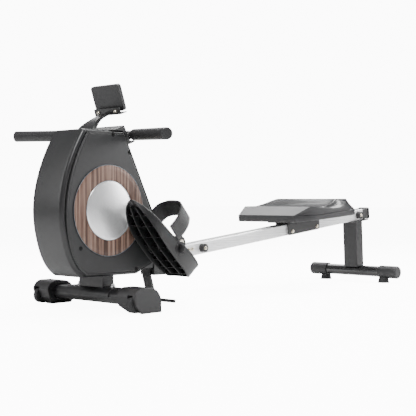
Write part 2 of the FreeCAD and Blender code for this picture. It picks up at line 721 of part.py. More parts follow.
def rail():
    frame = rail_frame()
    half_w, half_h, wall = size("rail_width") / 2, size("rail_height") / 2, size("rail_wall")
    middle = (size("rail_start") + size("rail_end")) / 2
    profile = rounded_section(half_w, half_h, 4)
    bore = rounded_section(half_w - wall, half_h - wall, 2)
    tube = padded_body("YZ_Plane", profile, "rail_end - rail_start", middle)
    pocket(tube, bore, "rail_end - rail_start + 2", role="YZ_Plane", offset=middle)
    publish("rail", tube, frame)

    pin_u, pin_w = size("fold_u"), size("fold_w")
    insert = side_body(edges_of([(-14, -16), (90, -16), (90, 16), (9, 16), (9, 22), (pin_u + 14, 24),
                                 (pin_u + 15, pin_w), ("arc", (pin_u, pin_w + 15), (pin_u - 15, pin_w)),
                                 (-14, 16)]), "34")
    pocket(insert, circle(pin_u, pin_w, size("fold_pin_radius") + 0.05), "60")
    publish("rail_insert", insert, frame)

    reach = size("bumper_length")
    stops, heads = [], []
    for side in (-1, 1):
        heads += [cross_rod(u, 2, "5", "4.5", side * (half_w + 2.25)) for u in (45, 59)]
        for u in (size("bumper_front"), size("bumper_rear")):
            stops.append(cross_rod(u, 0, "bumper_radius", "bumper_length", side * (half_w + reach / 2)))
            heads.append(cross_rod(u, 0, "5", "3", side * (half_w + reach + 1.5)))
    publish("rail_bumpers", group(*stops), frame)
    publish("rail_bolts", group(*heads), frame)

    end = size("rail_end")
    sleeve = padded_body("YZ_Plane", rounded_section(half_w, half_h, 4), "end_cap_length - 5",
                         end + (size("end_cap_length") - 5) / 2)
    flange = padded_body("YZ_Plane", rounded_section(half_w + 3, half_h + 2, 6), "5",
                         end + size("end_cap_length") - 2.5)
    publish("rail_end_cap", fuse(sleeve, flange), frame)


def rounded_section(half_width, half_height, radius):
    """The rail's section, centred on its axis."""
    a, b, r = half_width, half_height, radius
    c = r * (1 - math.sqrt(0.5))
    return edges_of([(-a + r, -b), (a - r, -b), ("arc", (a - c, -b + c), (a, -b + r)), (a, b - r),
                     ("arc", (a - c, b - c), (a - r, b)), (-a + r, b), ("arc", (-a + c, b - c), (-a, b - r)),
                     (-a, -b + r), ("arc", (-a + c, -b + c), (-a + r, -b))])


# ---------------------------------------------------------------- rear leg and foot

def rear_leg():
    along, flat = rail_frame(), machine_frame()
    half_h = size("rail_height") / 2
    u = size("leg_u")
    plate = box((u + 5, 0, -half_h - 2), Length="104", Width="leg_width + 6", Height="4")

    foot = V(size("front_x") + size("rear_tube_x"), 0, size("rear_tube_z"))
    local = along.inverse().multVec(foot)
    low = local.z + size("rear_tube_radius") - 3
    half_d = size("leg_depth") / 2
    leg = side_body(edges_of([(u - half_d, -half_h - 4), (u + half_d, -half_h - 4), (local.x + half_d, low),
                              (local.x - half_d, low)]), "leg_width")
    wall = 2.5
    pocket(leg, edges_of([(u - half_d + wall, -half_h), (u + half_d - wall, -half_h),
                          (local.x + half_d - wall, low - 5), (local.x - half_d + wall, low - 5)]),
           "leg_width - 5")
    tube_hole = circle(local.x, local.z, size("rear_tube_radius"))
    pocket(leg, tube_hole, "leg_width + 4")
    publish("rear_leg", fuse(plate, leg), along)

    x, z = size("rear_tube_x"), size("rear_tube_z")
    tube = cut(cross_rod(x, z, "rear_tube_radius", "rear_tube_half * 2"),
               cross_rod(x, z, "rear_tube_radius - tube_wall", "rear_tube_half * 2 + 2"))
    publish("rear_stabiliser", tube, flat)
    feet = []
    for side, word in ((-1, "left"), (1, "right")):
        radius, inner = size("rear_cap_radius"), size("rear_tube_radius")
        end = 190.0
        length = size("rear_cap_length")
        cap = spun_body([(0, end), (radius - 6, end), ("arc", (radius - 1.8, end - 1.8), (radius, end - 6)),
                         (radius, end - length), (inner, end - length), (inner, size("rear_tube_half")),
                         (0, size("rear_tube_half"))])
        turn = FreeCAD.Rotation(AXIS_Z, 0 if side > 0 else 180)
        cap.Placement = FreeCAD.Placement(V(x, 0, z), turn)
        publish("rear_cap_" + word, cap, flat)
        cone = doc.addObject("Part::Cone", "Foot")
        bind(cone, Radius1="foot_base_radius", Radius2="foot_top_radius",
             Height="rear_tube_z - rear_cap_radius + 4")
        place(cone, x, side * size("foot_y"), 0)
        round_bar = cross_rod(x, z, "rear_cap_radius", "60", side * size("foot_y"))
        feet.append(cut(cone, round_bar))
    publish("rear_feet", group(*feet), flat)


# ---------------------------------------------------------------- seat and carriage

def seat_plan():
    """The seat from above: narrow straight front, flared sides, rounded back."""
    front, rear, half = size("seat_front"), size("seat_rear"), size("seat_width") / 2
    return edges_of([(front, -half + 38), (front + 62, -half + 16), (front + 104, -half + 8),
                    (rear - 133, -half),
                     (rear - 68, -half + 2), ("arc", (rear - 38, -half + 13), (rear - 20, -half + 32)),
                     ("arc", (rear - 5, -half + 78), (rear, 0)),
                     ("arc", (rear - 5, half - 78), (rear - 20, half - 32)),
                     ("arc", (rear - 38, half - 13), (rear - 68, half - 2)), (rear - 133, half),
                     (front + 104, half - 8), (front + 62, half - 16), (front, half - 38)])


def seat():
    """Moulded seat: front bevel, level rear rim, a dished top and a scooped leg relief on each side."""
    frame = rail_frame()
    front, rear, low = size("seat_front"), size("seat_rear"), size("seat_bottom")
    half = size("seat_width") / 2
    side = side_body(edges_of([(front, low + 5), (rear, low - 5), (rear, low + 16), (rear - 24, low + 49),
                               (rear - 99, low + 56), (rear - 128, low + 59), (front + 154, low + 45),
                               (front + 111, low + 43.5), (front + 62, low + 50.5), (front + 2, low + 28)]),
                     "seat_width")
    shell = common(side, padded_body("XY_Plane", seat_plan(), "300"))
    reliefs = []
    for edge in (-half, half):
        relief = doc.addObject("Part::Box", "LegRelief")
        relief.Length = rear - front - 231
        relief.Width = 80
        relief.Height = 80
        relief.Placement = FreeCAD.Placement(V(front + 134, edge, low + 31),
                                             FreeCAD.Rotation(AXIS_X, 45))
        reliefs.append(relief)
    dish = doc.addObject("Part::Ellipsoid", "Dish")
    dish.Radius1 = 30
    dish.Radius2 = 120
    dish.Radius3 = 116
    place(dish, front + 179, 0, low + 66)
    well = box(((size("carriage_front") + size("carriage_rear")) / 2, 0, low + 7),
               Width="carriage_half * 2 + 6",
               Length="carriage_rear - carriage_front + 8", Height="carriage_top - seat_bottom + 8")
    well.Placement.Base.z = low - 8
    for cutter in reliefs + [dish, well]:
        shell = cut(shell, cutter)
    publish("seat_pad", shell, frame)
    carriage(frame)


def carriage(frame):
    """A folded steel tray under the seat with a cheek plate down each side of the rail."""
    front, rear, top = size("carriage_front"), size("carriage_rear"), size("carriage_top")
    middle, half = (front + rear) / 2, size("carriage_half")
    inner, thick = size("plate_inner"), size("plate_thickness")
    low = 0.5 - size("rail_height") / 2
    deck = box((middle, 0, top - 2), Length="carriage_rear - carriage_front", Width="carriage_half * 2",
               Height="4")
    skirts = [box((middle, side * (half - 1.5), top - 12), Length="carriage_rear - carriage_front",
              Width="3",
                  Height="22") for side in (-1, 1)]
    nose = box((front + 1.5, 0, top - 12), Length="3", Width="carriage_half * 2", Height="22")
    cheeks = []
    for side in (-1, 1):
        cheek = side_body(edges_of([(front, top - 2), (rear, top - 2), (rear, -12), (rear - 6, low),
                                    (front + 2, low), (front, low + 2)]), "plate_thickness",
                          side * (inner + thick / 2))
        for u in (size("roller_first"), size("roller_second")):
            pocket(cheek, circle(u, size("roller_w"), 4), "20", offset=-side * (inner + thick / 2))
        cheeks.append(cheek)
    publish("carriage_frame", fuse(deck, nose, *skirts, *cheeks), frame)

    pads = [box((u, side * (inner - 1.8), -7), Length="30", Width="3.4", Height="20")
            for u in (front + 20, rear - 20) for side in (-1, 1)]
    publish("glide_pads", group(*pads), frame)
    heads = [cross_rod(u, -7, "5.5", "4", side * (inner + thick + 2))
             for u in (front + 20, rear - 14) for side in (-1, 1)]
    publish("carriage_bolts", group(*heads), frame)

    half_roll = size("roller_width") / 2
    radius = size("roller_radius")
    for word, alias in (("front", "roller_first"), ("rear", "roller_second")):
        wheel = spun_body([(4.05, -half_roll), (radius - 1, -half_roll), (radius, -half_roll + 1),
                           (radius, half_roll - 1), (radius - 1, half_roll), (4.05, half_roll)])
        wheel.Placement = FreeCAD.Placement(V(size(alias), 0, size("roller_w")), FreeCAD.Rotation())
        publish(word + "_roller", wheel, frame)
    axles = [cross_rod(size(alias), size("roller_w"), "4", "plate_inner * 2 + plate_thickness * 2 + 8")
             for alias in ("roller_first", "roller_second")]
    publish("roller_axles", group(*axles), frame)


# ---------------------------------------------------------------- footplates

def pedal_body():
    """A moulded footplate: rocker sole with ribs below, raised heel cup above."""
    toe, heel = -size("pedal_toe"), size("pedal_heel")
    half = size("pedal_width") / 2
    profile = edges_of([(toe, -20), ("arc", (-70, -37), (20, -32)), (88, -20),
                       ("arc", (99, -15), (heel, -4)),
                        (heel - 8, 38), ("arc", (50, 26), (0, 16)), (-60, 0), (-130, -8), (toe, -14)])
    block = side_body(profile, "pedal_width")
    plan = padded_body("XY_Plane", edges_of([
        (toe, 0), ("arc", (toe + 34, half * 0.6), (-70, half)), (20, half),
        ("arc", (78, half - 8), (heel, half - 32)),
        (heel, -half + 32), ("arc", (78, -half + 8), (20, -half)), (-70, -half),
        ("arc", (toe + 34, -half * 0.6), (toe, 0))]), "200")
    plate = common(block, plan)

    hollows = []
    rib = 4.0
    lanes = ((-half + 7, -19), (-19 + rib, 19 - rib), (19, half - 7))
    for low, high in lanes:
        for start, end in ((-128, -78), (-74, -22), (24, 78)):
            lane = box(((start + end) / 2, (low + high) / 2, -30), Length=str(end - start),
                       Width=str(high - low), Height="36")
            lane.Placement.Base.z = -48
            hollows.append(lane)
    foot_well = box((60, 0, 24), Length="76", Width="pedal_width - 26", Height="34")
    foot_well.Placement.Base.z = 2
    bore = cross_rod(0, 0, "pedal_axle_radius + 0.05", "pedal_width + 10")
    boss = cross_rod(0, 0, "pedal_axle_radius + 7", "pedal_width")
    trimmed = cut(plate, fuse(*hollows, foot_well))
    return cut(fuse(trimmed, boss), bore)


def footplates():
    publish("pedal_axle", cross_rod(size("pedal_x"), size("pedal_z"), "pedal_axle_radius", "400"),
            machine_frame())
    nuts = [cross_rod(size("pedal_x"), size("pedal_z"), "pedal_axle_radius + 3", "6", side * 203)
            for side in (-1, 1)]
    publish("axle_end_nuts", group(*nuts), machine_frame())
    for side, word in ((-1, "left"), (1, "right")):
        publish("footplate_" + word, pedal_body(), pedal_frame(side))
        publish("foot_strap_" + word, foot_strap(), pedal_frame(side))


def foot_strap():
    """A webbing loop over the foot, standing on the footplate's two edges."""
    half, rise = size("pedal_width") / 2, size("webbing_height")
    thick, base = size("webbing_thickness"), 6
    a, b = half + thick, half
    top, under = rise, rise - thick
    outline = edges_of([
        (a, base), (a, top - 42), ("arc", (a - 13, top - 12), (a - 44, top)), (-a + 44, top),
        ("arc", (-a + 13, top - 12), (-a, top - 42)), (-a, base), (-b, base), (-b, under - 42),
        ("arc", (-b + 13, under - 12), (-b + 44, under)), (b - 44, under),
        ("arc", (b - 13, under - 12), (b, under - 42)), (b, base)])
    return padded_body("YZ_Plane", outline, "webbing_width", -50)


# ---------------------------------------------------------------- build, check and write

def check_document():
    doc.recompute()
    for obj in doc.Objects:
        if "Invalid" in obj.State or "Error" in obj.State:
            raise RuntimeError("%s (%s) failed: %s" % (obj.Label, obj.Name, obj.State))
    labels = [obj.Label for obj in SUB_PARTS]
    if len(set(labels)) != len(labels):
        raise RuntimeError("two sub-parts share a label")
    for obj in SUB_PARTS:
        if obj.Shape.isNull() or not obj.Shape.isValid() or not obj.Shape.Solids:
            raise RuntimeError("%s has no valid solid" % obj.Label)


def write_parts():
    os.makedirs("parts", exist_ok=True)
    bounds = FreeCAD.BoundBox()
    for obj in SUB_PARTS:
        obj.Shape.exportStep("parts/" + obj.Label + ".step")
        bounds.add(obj.Shape.BoundBox)
    print("%d sub-parts, %s" % (len(SUB_PARTS), bounds))


front_foot()
main_frame()
housing()
drive()
handle()
console()
rail()
rear_leg()
seat()
footplates()
check_document()
write_parts()
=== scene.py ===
"""A compact magnetic rowing machine: the looks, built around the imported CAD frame. Metres, +Z up."""

import json
import math

import bmesh
import bpy
from mathutils import Matrix, Vector


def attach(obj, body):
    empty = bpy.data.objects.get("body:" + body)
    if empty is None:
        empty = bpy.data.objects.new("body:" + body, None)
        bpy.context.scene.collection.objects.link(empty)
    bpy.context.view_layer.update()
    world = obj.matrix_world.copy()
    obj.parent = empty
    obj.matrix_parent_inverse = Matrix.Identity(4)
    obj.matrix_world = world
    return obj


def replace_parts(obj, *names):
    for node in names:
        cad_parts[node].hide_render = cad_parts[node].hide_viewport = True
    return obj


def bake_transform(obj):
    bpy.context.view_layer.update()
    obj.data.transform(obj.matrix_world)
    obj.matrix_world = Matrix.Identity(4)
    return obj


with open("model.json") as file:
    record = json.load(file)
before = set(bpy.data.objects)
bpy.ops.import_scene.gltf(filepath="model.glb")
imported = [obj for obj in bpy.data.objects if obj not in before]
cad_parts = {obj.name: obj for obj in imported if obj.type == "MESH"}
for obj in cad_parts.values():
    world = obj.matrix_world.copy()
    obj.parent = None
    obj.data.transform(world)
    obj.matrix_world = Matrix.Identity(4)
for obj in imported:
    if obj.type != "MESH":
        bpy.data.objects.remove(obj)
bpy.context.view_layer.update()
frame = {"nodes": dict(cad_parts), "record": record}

FRONT_X = -0.5621
HOUSING_HALF = 0.063
COVER_FACE = 0.067
DIAL = (-0.017, 0.270)
RING_RADIUS, DISC_RADIUS = 0.125, 0.081
DIAL_STEPS = 128
UP, ACROSS, ALONG = Vector((0, 0, 1)), Vector((0, 1, 0)), Vector((1, 0, 0))
SIDES = ((-1, "left"), (1, "right"))


def at(x, y, z):
    """A point given from the front foot, in the row frame."""
    return Vector((x + FRONT_X, y, z))


def tilted(x, y, z, degrees):
    """A frame at a point given from the front foot, turned about Y."""
    return Matrix.Translation(at(x, y, z)) @ Matrix.Rotation(math.radians(degrees), 4, "Y")


RAIL = tilted(0.298, 0, 0.141, -6.2)
SCREEN = tilted(0.046, 0, 0.547, -19)


def pedal_frame(side):
    """The frame of a footplate: X towards the heel, Z out of the sole."""
    return tilted(0.130, side * 0.1395, 0.166, 50)


def smooth(low, high, value):
    """0 at low and 1 at high, with an even start and end between them."""
    t = min(max((value - low) / (high - low), 0.0), 1.0)
    return t * t * (3 - 2 * t)


# ---------------------------------------------------------------- materials

def add_node(tree, kind, links=None, **settings):
    """A node with its inputs or properties set and its inputs linked to other nodes' outputs."""
    made = tree.nodes.new(kind)
    for key, value in settings.items():
        if key in made.inputs:
            made.inputs[key].default_value = value
        else:
            setattr(made, key, value)
    for key, output in (links or {}).items():
        tree.links.new(output, made.inputs[key])
    return made


def color_sockets(sockets):
    """The colour sockets of a mix node, which also has float and vector ones of the same names."""
    return [socket for socket in sockets if socket.type == "RGBA"]


class Look:
    """One procedural material: a Principled shader and the nodes that feed it."""

    def __init__(self, name, **sockets):
        """A new material, with values for the shader's inputs; coat_weight stands for Coat Weight."""
        self.material = bpy.data.materials.new(name)
        self.material.use_nodes = True
        self.tree = self.material.node_tree
        self.shader = self.tree.nodes["Principled BSDF"]
        for socket, value in sockets.items():
            if " " not in socket:
                socket = socket.replace("_", " ").title()
            self.shader.inputs[socket].default_value = value

    def node(self, kind, links=None, **settings):
        """A node of this material's own tree."""
        return add_node(self.tree, kind, links, **settings)

    def spot(self, scale=(1, 1, 1), turn=(0, 0, 0), uv=False):
        """Coordinates that stay on the piece: its own metres, turned and stretched."""
        source = self.node("ShaderNodeTexCoord")
        mapping = self.node("ShaderNodeMapping", {"Vector": source.outputs["UV" if uv else "Object"]})
        mapping.inputs["Scale"].default_value = scale
        mapping.inputs["Rotation"].default_value = [math.radians(a) for a in turn]
        return mapping.outputs["Vector"]

    def noise(self, spot, scale, detail=3.0, roughness=0.55, distortion=0.0):
        """Soft noise from 0 to 1; scale is in cells per metre."""
        made = self.node("ShaderNodeTexNoise", {"Vector": spot}, Scale=scale, Detail=detail,
                         Roughness=roughness, Distortion=distortion)
        return made.outputs["Fac"]

    def ramp(self, value, *stops):
        """A colour ramp; the stops are (place, color) pairs."""
        made = self.node("ShaderNodeValToRGB", {"Fac": value})
        points = made.color_ramp.elements
        for place, color in stops[2:]:
            points.new(place)
        for element, (place, color) in zip(points, sorted(stops)):
            element.position = place
            element.color = (*color, 1) if len(color) == 3 else color
        return made.outputs["Color"]

    def span(self, value, low, high, start=0.0, end=1.0):
        """The value's range from start to end, stretched to run from low to high."""
        made = self.node("ShaderNodeMapRange", {"Value": value})
        for index, number in enumerate((start, end, low, high), start=1):
            made.inputs[index].default_value = number
        return made.outputs["Result"]

    def sum(self, a, b, operation="ADD"):
        """Two values added, or put through another operation; b may be a plain number."""
        made = self.node("ShaderNodeMath", {0: a}, operation=operation)
        if isinstance(b, float):
            made.inputs[1].default_value = b
        else:
            self.tree.links.new(b, made.inputs[1])
        return made.outputs["Value"]

    def blend(self, factor, first, second, mode="MIX"):
        """Two colors mixed by a factor; each of the three may be a plain value."""
        made = self.node("ShaderNodeMix", data_type="RGBA", blend_type=mode)
        if isinstance(factor, float):
            made.inputs["Factor"].default_value = factor
        else:
            self.tree.links.new(factor, made.inputs["Factor"])
        for socket, value in zip(color_sockets(made.inputs), (first, second)):
            if isinstance(value, tuple):
                socket.default_value = (*value, 1)
            else:
                self.tree.links.new(value, socket)
        return color_sockets(made.outputs)[0]

    def edges(self, radius):
        """1 by a piece's sharp edges and 0 on its flat faces."""
        soft = self.node("ShaderNodeBevel", samples=4, Radius=radius)
        flat = self.node("ShaderNodeNewGeometry")
        both = self.node("ShaderNodeVectorMath", {0: soft.outputs["Normal"], 1: flat.outputs["Normal"]},
                         operation="DOT_PRODUCT")
        return self.span(both.outputs["Value"], 1.0, 0.0, 0.75, 0.985)

    def bump(self, height, strength, distance=0.0004, over=None):
        """A normal with fine relief, on top of the normal given as over."""
        made = self.node("ShaderNodeBump", {"Height": height}, Strength=strength, Distance=distance)
        if over is not None:
            self.tree.links.new(over, made.inputs["Normal"])
        return made.outputs["Normal"]

    def soft_edges(self, radius):
        """A normal that rounds off the piece's sharp edges."""
        return self.node("ShaderNodeBevel", samples=4, Radius=radius).outputs["Normal"]

    def wear(self, color=None, roughness=None, normal=None):
        """Link the given outputs to the shader."""
        for socket, output in (("Base Color", color), ("Roughness", roughness), ("Normal", normal)):
            if output is not None:
                self.tree.links.new(output, self.shader.inputs[socket])
        return self.material


def moulded(name, dark, light, rough, grain=900.0, depth=0.12, edge=0.0006, **sockets):
    """Moulded plastic: a fine even grain, slow colour drift and a painted highlight along the sharp edges.
    """
    look = Look(name, **sockets)
    spot = look.spot()
    drift = look.noise(spot, 9.0, 4.0)
    color = look.ramp(drift, (0.3, dark), (0.7, light))
    # A lighter tint over every sharp edge: a painted highlight.
    edge_highlight_tint = tuple(min(1, c * 2.2 + 0.01) for c in light)
    color = look.blend(look.sum(look.edges(edge), 0.35, "MULTIPLY"), color, edge_highlight_tint)
    shine = look.span(look.noise(spot, 30.0, 5.0), rough - 0.05, rough + 0.07)
    normal = look.bump(look.noise(spot, grain, 2.0), depth, 0.0003, look.soft_edges(edge))
    return look.wear(color, shine, normal)


def powder(name, dark, light, rough, edge=0.0007, **sockets):
    """Powder-coated steel: orange peel, faint dust and lighter rubbed edges."""
    look = Look(name, **sockets)
    spot = look.spot()
    color = look.ramp(look.noise(spot, 14.0, 6.0), (0.35, dark), (0.68, light))
    rubbed = look.sum(look.edges(edge), look.noise(spot, 160.0, 4.0), "MULTIPLY")
    color = look.blend(look.sum(rubbed, 0.5, "MULTIPLY"), color, (0.16, 0.16, 0.165))
    shine = look.span(look.noise(spot, 45.0, 6.0), rough - 0.06, rough + 0.09)
    normal = look.bump(look.noise(spot, 420.0, 1.5), 0.22, 0.0003, look.soft_edges(edge))
    return look.wear(color, shine, normal)


def brushed(name, color, rough, stretch, turn=(0, 0, 0), depth=0.06, metallic=1.0, spread=0.1, edge=0.0005):
    """Brushed or drawn metal: streaks along one direction."""
    look = Look(name, metallic=metallic)
    spot = look.spot(stretch, turn)
    lines = look.noise(spot, 1.0, 5.0, 0.7)
    darker = tuple(c * 0.86 for c in color)
    tint = look.ramp(lines, (0.3, darker), (0.72, color))
    shine = look.span(lines, rough - spread, rough + spread)
    normal = look.bump(lines, depth, 0.0002, look.soft_edges(edge))
    return look.wear(tint, shine, normal)


def cast(name, color, rough, grain=600.0, depth=0.2, metallic=0.0):
    """Rubber, foam or plain steel: an even grain and a slow colour drift."""
    look = Look(name, metallic=metallic)
    spot = look.spot()
    darker = tuple(c * 0.7 for c in color)
    tint = look.ramp(look.noise(spot, 25.0, 6.0), (0.3, darker), (0.7, color))
    shine = look.span(look.noise(spot, 70.0, 4.0), rough - 0.07, rough + 0.07)
    return look.wear(tint, shine, look.bump(look.noise(spot, grain, 3.0), depth, 0.0003))


def walnut():
    """Veneer with upright grain: broad bands, fine dark pores and a satin lacquer."""
    look = Look("walnut_veneer", **{"Specular IOR Level": 0.3})
    broad = look.noise(look.spot((150.0, 1.0, 2.6)), 1.0, 3.0, 0.5, 0.4)
    fine = look.noise(look.spot((520.0, 1.0, 9.0)), 1.0, 4.0, 0.65, 0.3)
    pores = look.noise(look.spot((1500.0, 1.0, 26.0)), 1.0, 2.0, 0.5)
    color = look.ramp(broad, (0.36, (0.060, 0.034, 0.025)), (0.44, (0.135, 0.078, 0.058)),
                      (0.53, (0.230, 0.145, 0.112)), (0.66, (0.30, 0.200, 0.160)))
    streak = look.ramp(fine, (0.33, (0.45, 0.45, 0.45)), (0.6, (1.0, 1.0, 1.0)))
    tint = look.blend(0.75, color, streak, "MULTIPLY")
    tint = look.blend(look.span(pores, 0.5, 0.0, 0.28, 0.4), tint, (0.07, 0.035, 0.025))
    return look.wear(tint, look.span(fine, 0.52, 0.38), look.bump(look.sum(fine, pores), 0.15, 0.0003))


def webbing():
    """Woven nylon: cross ribs with a fine twill between them, on the strap's own length."""
    look = Look("nylon_webbing", sheen_weight=0.25, sheen_roughness=0.5)
    along = look.spot(uv=True)
    ribs = look.node("ShaderNodeTexWave", {"Vector": along}, Scale=95.0, Distortion=0.4, Detail=1.0,
                     bands_direction="X")
    threads = look.node("ShaderNodeTexWave", {"Vector": along}, Scale=420.0, Distortion=0.8, Detail=1.0,
                        bands_direction="Y")
    fuzz = look.noise(look.spot(), 1400.0, 2.0)
    height = look.sum(look.sum(ribs.outputs["Fac"], 0.7, "MULTIPLY"),
                      look.sum(threads.outputs["Fac"], 0.3, "MULTIPLY"))
    height = look.sum(height, look.sum(fuzz, 0.25, "MULTIPLY"))
    # Colour follows the weave's height: painted shade in the grooves and lighter rib tops.
    color = look.ramp(height, (0.15, (0.003, 0.003, 0.0033)), (0.95, (0.016, 0.016, 0.0172)))
    return look.wear(color, look.span(height, 0.9, 0.62), look.bump(height, 0.65, 0.0007))


def foam_skin():
    """The seat's moulded polyurethane skin: pebbled grain with finer creases."""
    look = Look("moulded_seat_skin", **{"Specular IOR Level": 0.42})
    spot = look.spot()
    cells = look.node("ShaderNodeTexVoronoi", {"Vector": spot}, feature="SMOOTH_F1", Scale=620.0,
                      Smoothness=0.6)
    creases = look.noise(spot, 240.0, 4.0)
    height = look.sum(cells.outputs["Distance"], look.sum(creases, 0.6, "MULTIPLY"))
    drift = look.noise(spot, 7.0, 4.0)
    color = look.ramp(drift, (0.3, (0.0165, 0.0165, 0.0175)), (0.7, (0.022, 0.022, 0.0235)))
    shine = look.span(look.noise(spot, 38.0, 5.0), 0.33, 0.42)
    return look.wear(color, shine, look.bump(height, 0.12, 0.0002))


def satin_silver():
    """Painted silver disc: fine turned lines about its own middle."""
    look = Look("satin_silver", metallic=0.75, coat_weight=0.2, coat_roughness=0.2)
    source = look.node("ShaderNodeTexCoord")
    moved = look.node("ShaderNodeVectorMath", {0: source.outputs["Object"]}, operation="SUBTRACT")
    moved.inputs[1].default_value = (DIAL[0] + FRONT_X, 0, DIAL[1])
    flat = look.node("ShaderNodeVectorMath", {0: moved.outputs["Vector"]}, operation="MULTIPLY")
    flat.inputs[1].default_value = (1, 0, 1)
    radius = look.node("ShaderNodeVectorMath", {0: flat.outputs["Vector"]}, operation="LENGTH")
    rings = look.node("ShaderNodeTexNoise", {"W": look.sum(radius.outputs["Value"], 2400.0, "MULTIPLY")},
                      noise_dimensions="1D", Scale=1.0, Detail=3.0)
    flakes = look.noise(look.spot(), 2600.0, 2.0)
    lines = look.sum(rings.outputs["Fac"], flakes, "MULTIPLY")
    color = look.ramp(lines, (0.1, (0.80, 0.805, 0.815)), (0.5, (0.93, 0.935, 0.94)))
    return look.wear(color, look.span(lines, 0.26, 0.34, 0.1, 0.5), look.bump(lines, 0.04, 0.0001))


def display():
    """The display window: a faintly clouded grey-green under a clear coat."""
    look = Look("display_window", roughness=0.08, coat_weight=0.6, coat_roughness=0.03)
    spot = look.spot()
    cloud = look.noise(spot, 60.0, 3.0)
    color = look.ramp(cloud, (0.3, (0.045, 0.055, 0.05)), (0.7, (0.06, 0.072, 0.064)))
    return look.wear(color, look.span(look.noise(spot, 200.0, 3.0), 0.06, 0.14))


LOOKS = {
    "dark_shell": moulded("housing_satin", (0.0125, 0.0128, 0.0135), (0.0165, 0.0168, 0.0175), 0.33,
                          1100.0, 0.10),
    "cover": moulded("cover_satin", (0.0165, 0.0168, 0.0175), (0.021, 0.0214, 0.0222), 0.40, 1100.0, 0.12),
    "frame_paint": powder("black_powder_coat", (0.009, 0.009, 0.0095), (0.013, 0.013, 0.0138), 0.34),
    "gloss_black": powder("gloss_black_paint", (0.005, 0.005, 0.0053), (0.008, 0.008, 0.0084), 0.2,
                          coat_weight=0.6, coat_roughness=0.08),
    "cap_plastic": moulded("textured_cap", (0.0145, 0.0145, 0.0152), (0.0195, 0.0195, 0.0205), 0.46,
                           750.0, 0.3),
    "wood_look": walnut(),
    "silver_disc": satin_silver(),
    "bezel": brushed("blue_grey_bezel", (0.22, 0.26, 0.30), 0.3, (300, 300, 300), metallic=0.7),
    "rubber_black": cast("matt_rubber", (0.022, 0.022, 0.023), 0.7, 900.0, 0.3),
    "screw_black": cast("blackened_steel", (0.005, 0.005, 0.0053), 0.4, 500.0, 0.1, 0.6),
    "flywheel_iron": brushed("turned_iron", (0.22, 0.22, 0.23), 0.4, (40, 900, 40)),
    "shaft_steel": brushed("bright_steel", (0.66, 0.66, 0.67), 0.22, (700, 20, 700)),
    "bar_steel": brushed("chromed_bar", (0.75, 0.75, 0.76), 0.14, (60, 20, 60), spread=0.04),
    "foam": cast("grip_foam", (0.020, 0.020, 0.0212), 0.48, 1500.0, 0.12),
    "webbing": webbing(),
    "brass_bolt": brushed("yellow_zinc", (0.78, 0.73, 0.62), 0.26, (260, 260, 260)),
    "rail_aluminium": brushed("anodised_rail", (0.96, 0.963, 0.966), 0.27, (6, 900, 900), (0, 6.2, 0), 0.05,
                              metallic=0.35, spread=0.07),
    "seat_foam": foam_skin(),
    "nylon_white": cast("nylon", (0.68, 0.68, 0.66), 0.45, 500.0, 0.1),
    "pedal_plastic": moulded("pedal_nylon", (0.0075, 0.0075, 0.008), (0.0105, 0.0105, 0.0112), 0.34,
                             800.0, 0.2, edge=0.0010),
    "screen_glass": display(),
    "magnet": brushed("plated_magnet", (0.4, 0.4, 0.42), 0.3, (200, 200, 200)),
}

SLOTS = {row["node"]: row["material_slot"] for row in frame["record"]["subparts"]}
for node_name, piece in frame["nodes"].items():
    piece.data.materials.clear()
    piece.data.materials.append(LOOKS[SLOTS[node_name]])


# ---------------------------------------------------------------- mesh tools

def make(name, points, faces, look, body, uv=None):
    """A mesh piece that rides on a body, with its faces turned outward."""
    mesh = bpy.data.meshes.new(name)
    mesh.from_pydata([tuple(p) for p in points], [], faces)
    built = bmesh.new()
    built.from_mesh(mesh)
    bmesh.ops.recalc_face_normals(built, faces=built.faces)
    if uv:
        layer = built.loops.layers.uv.new("UVMap")
        built.verts.ensure_lookup_table()
        for face in built.faces:
            for loop in face.loops:
                loop[layer].uv = uv[loop.vert.index]
    for face in built.faces:
        face.smooth = True
    built.to_mesh(mesh)
    built.free()
    mesh.set_sharp_from_angle(angle=math.radians(40))
    piece = bpy.data.objects.new(name, mesh)
    bpy.context.scene.collection.objects.link(piece)
    piece.data.materials.append(LOOKS[look])
    if body:
        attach(piece, body)
    return piece


def rings_to_faces(count, around, closed_rings=False, close_ends=True):
    """Quads between rings of equal length, with the end rings filled."""
    faces = []
    last = count if closed_rings else count - 1
    for row in range(last):
        after = (row + 1) % count
        for i in range(around):
            j = (i + 1) % around
            faces.append((row * around + i, row * around + j, after * around + j, after * around + i))
    if close_ends and not closed_rings:
        faces.append(tuple(range(around)))
        faces.append(tuple(range((count - 1) * around, count * around)))
    return faces


def lathe(profile, place, around=64):
    """Points and faces of (radius, height) pairs turned about the local Z axis of a frame."""
    points = []
    for radius, height in profile:
        for i in range(around):
            angle = 2 * math.pi * i / around
            points.append(place @ Vector((radius * math.cos(angle), radius * math.sin(angle), height)))
    return points, rings_to_faces(len(profile), around)


def join(parts):
    """Several (points, faces) lists as one."""
    points, faces = [], []
    for some_points, some_faces in parts:
        start = len(points)
        points += some_points
        faces += [tuple(start + i for i in face) for face in some_faces]
    return points, faces


def facing(direction, origin):
    """A frame at origin whose local Z is direction."""
    return Matrix.Translation(origin) @ direction.to_track_quat("Z", "Y").to_matrix().to_4x4()


def islands(node):
    """Each separate lump of a CAD node: its middle and its size along X, Y and Z."""
    built = bmesh.new()
    built.from_mesh(frame["nodes"][node].data)
    bmesh.ops.remove_doubles(built, verts=built.verts, dist=1e-6)
    left, found = set(built.verts), []
    while left:
        stack, lump = [min(left, key=lambda v: v.index)], set()
        while stack:
            vertex = stack.pop()
            if vertex in lump:
                continue
            lump.add(vertex)
            stack += [edge.other_vert(vertex) for edge in vertex.link_edges]
        left -= lump
        low = Vector([min(v.co[k] for v in lump) for k in range(3)])
        high = Vector([max(v.co[k] for v in lump) for k in range(3)])
        found.append(((low + high) / 2, high - low))
    built.free()
    return sorted(found, key=lambda item: tuple(item[0]))


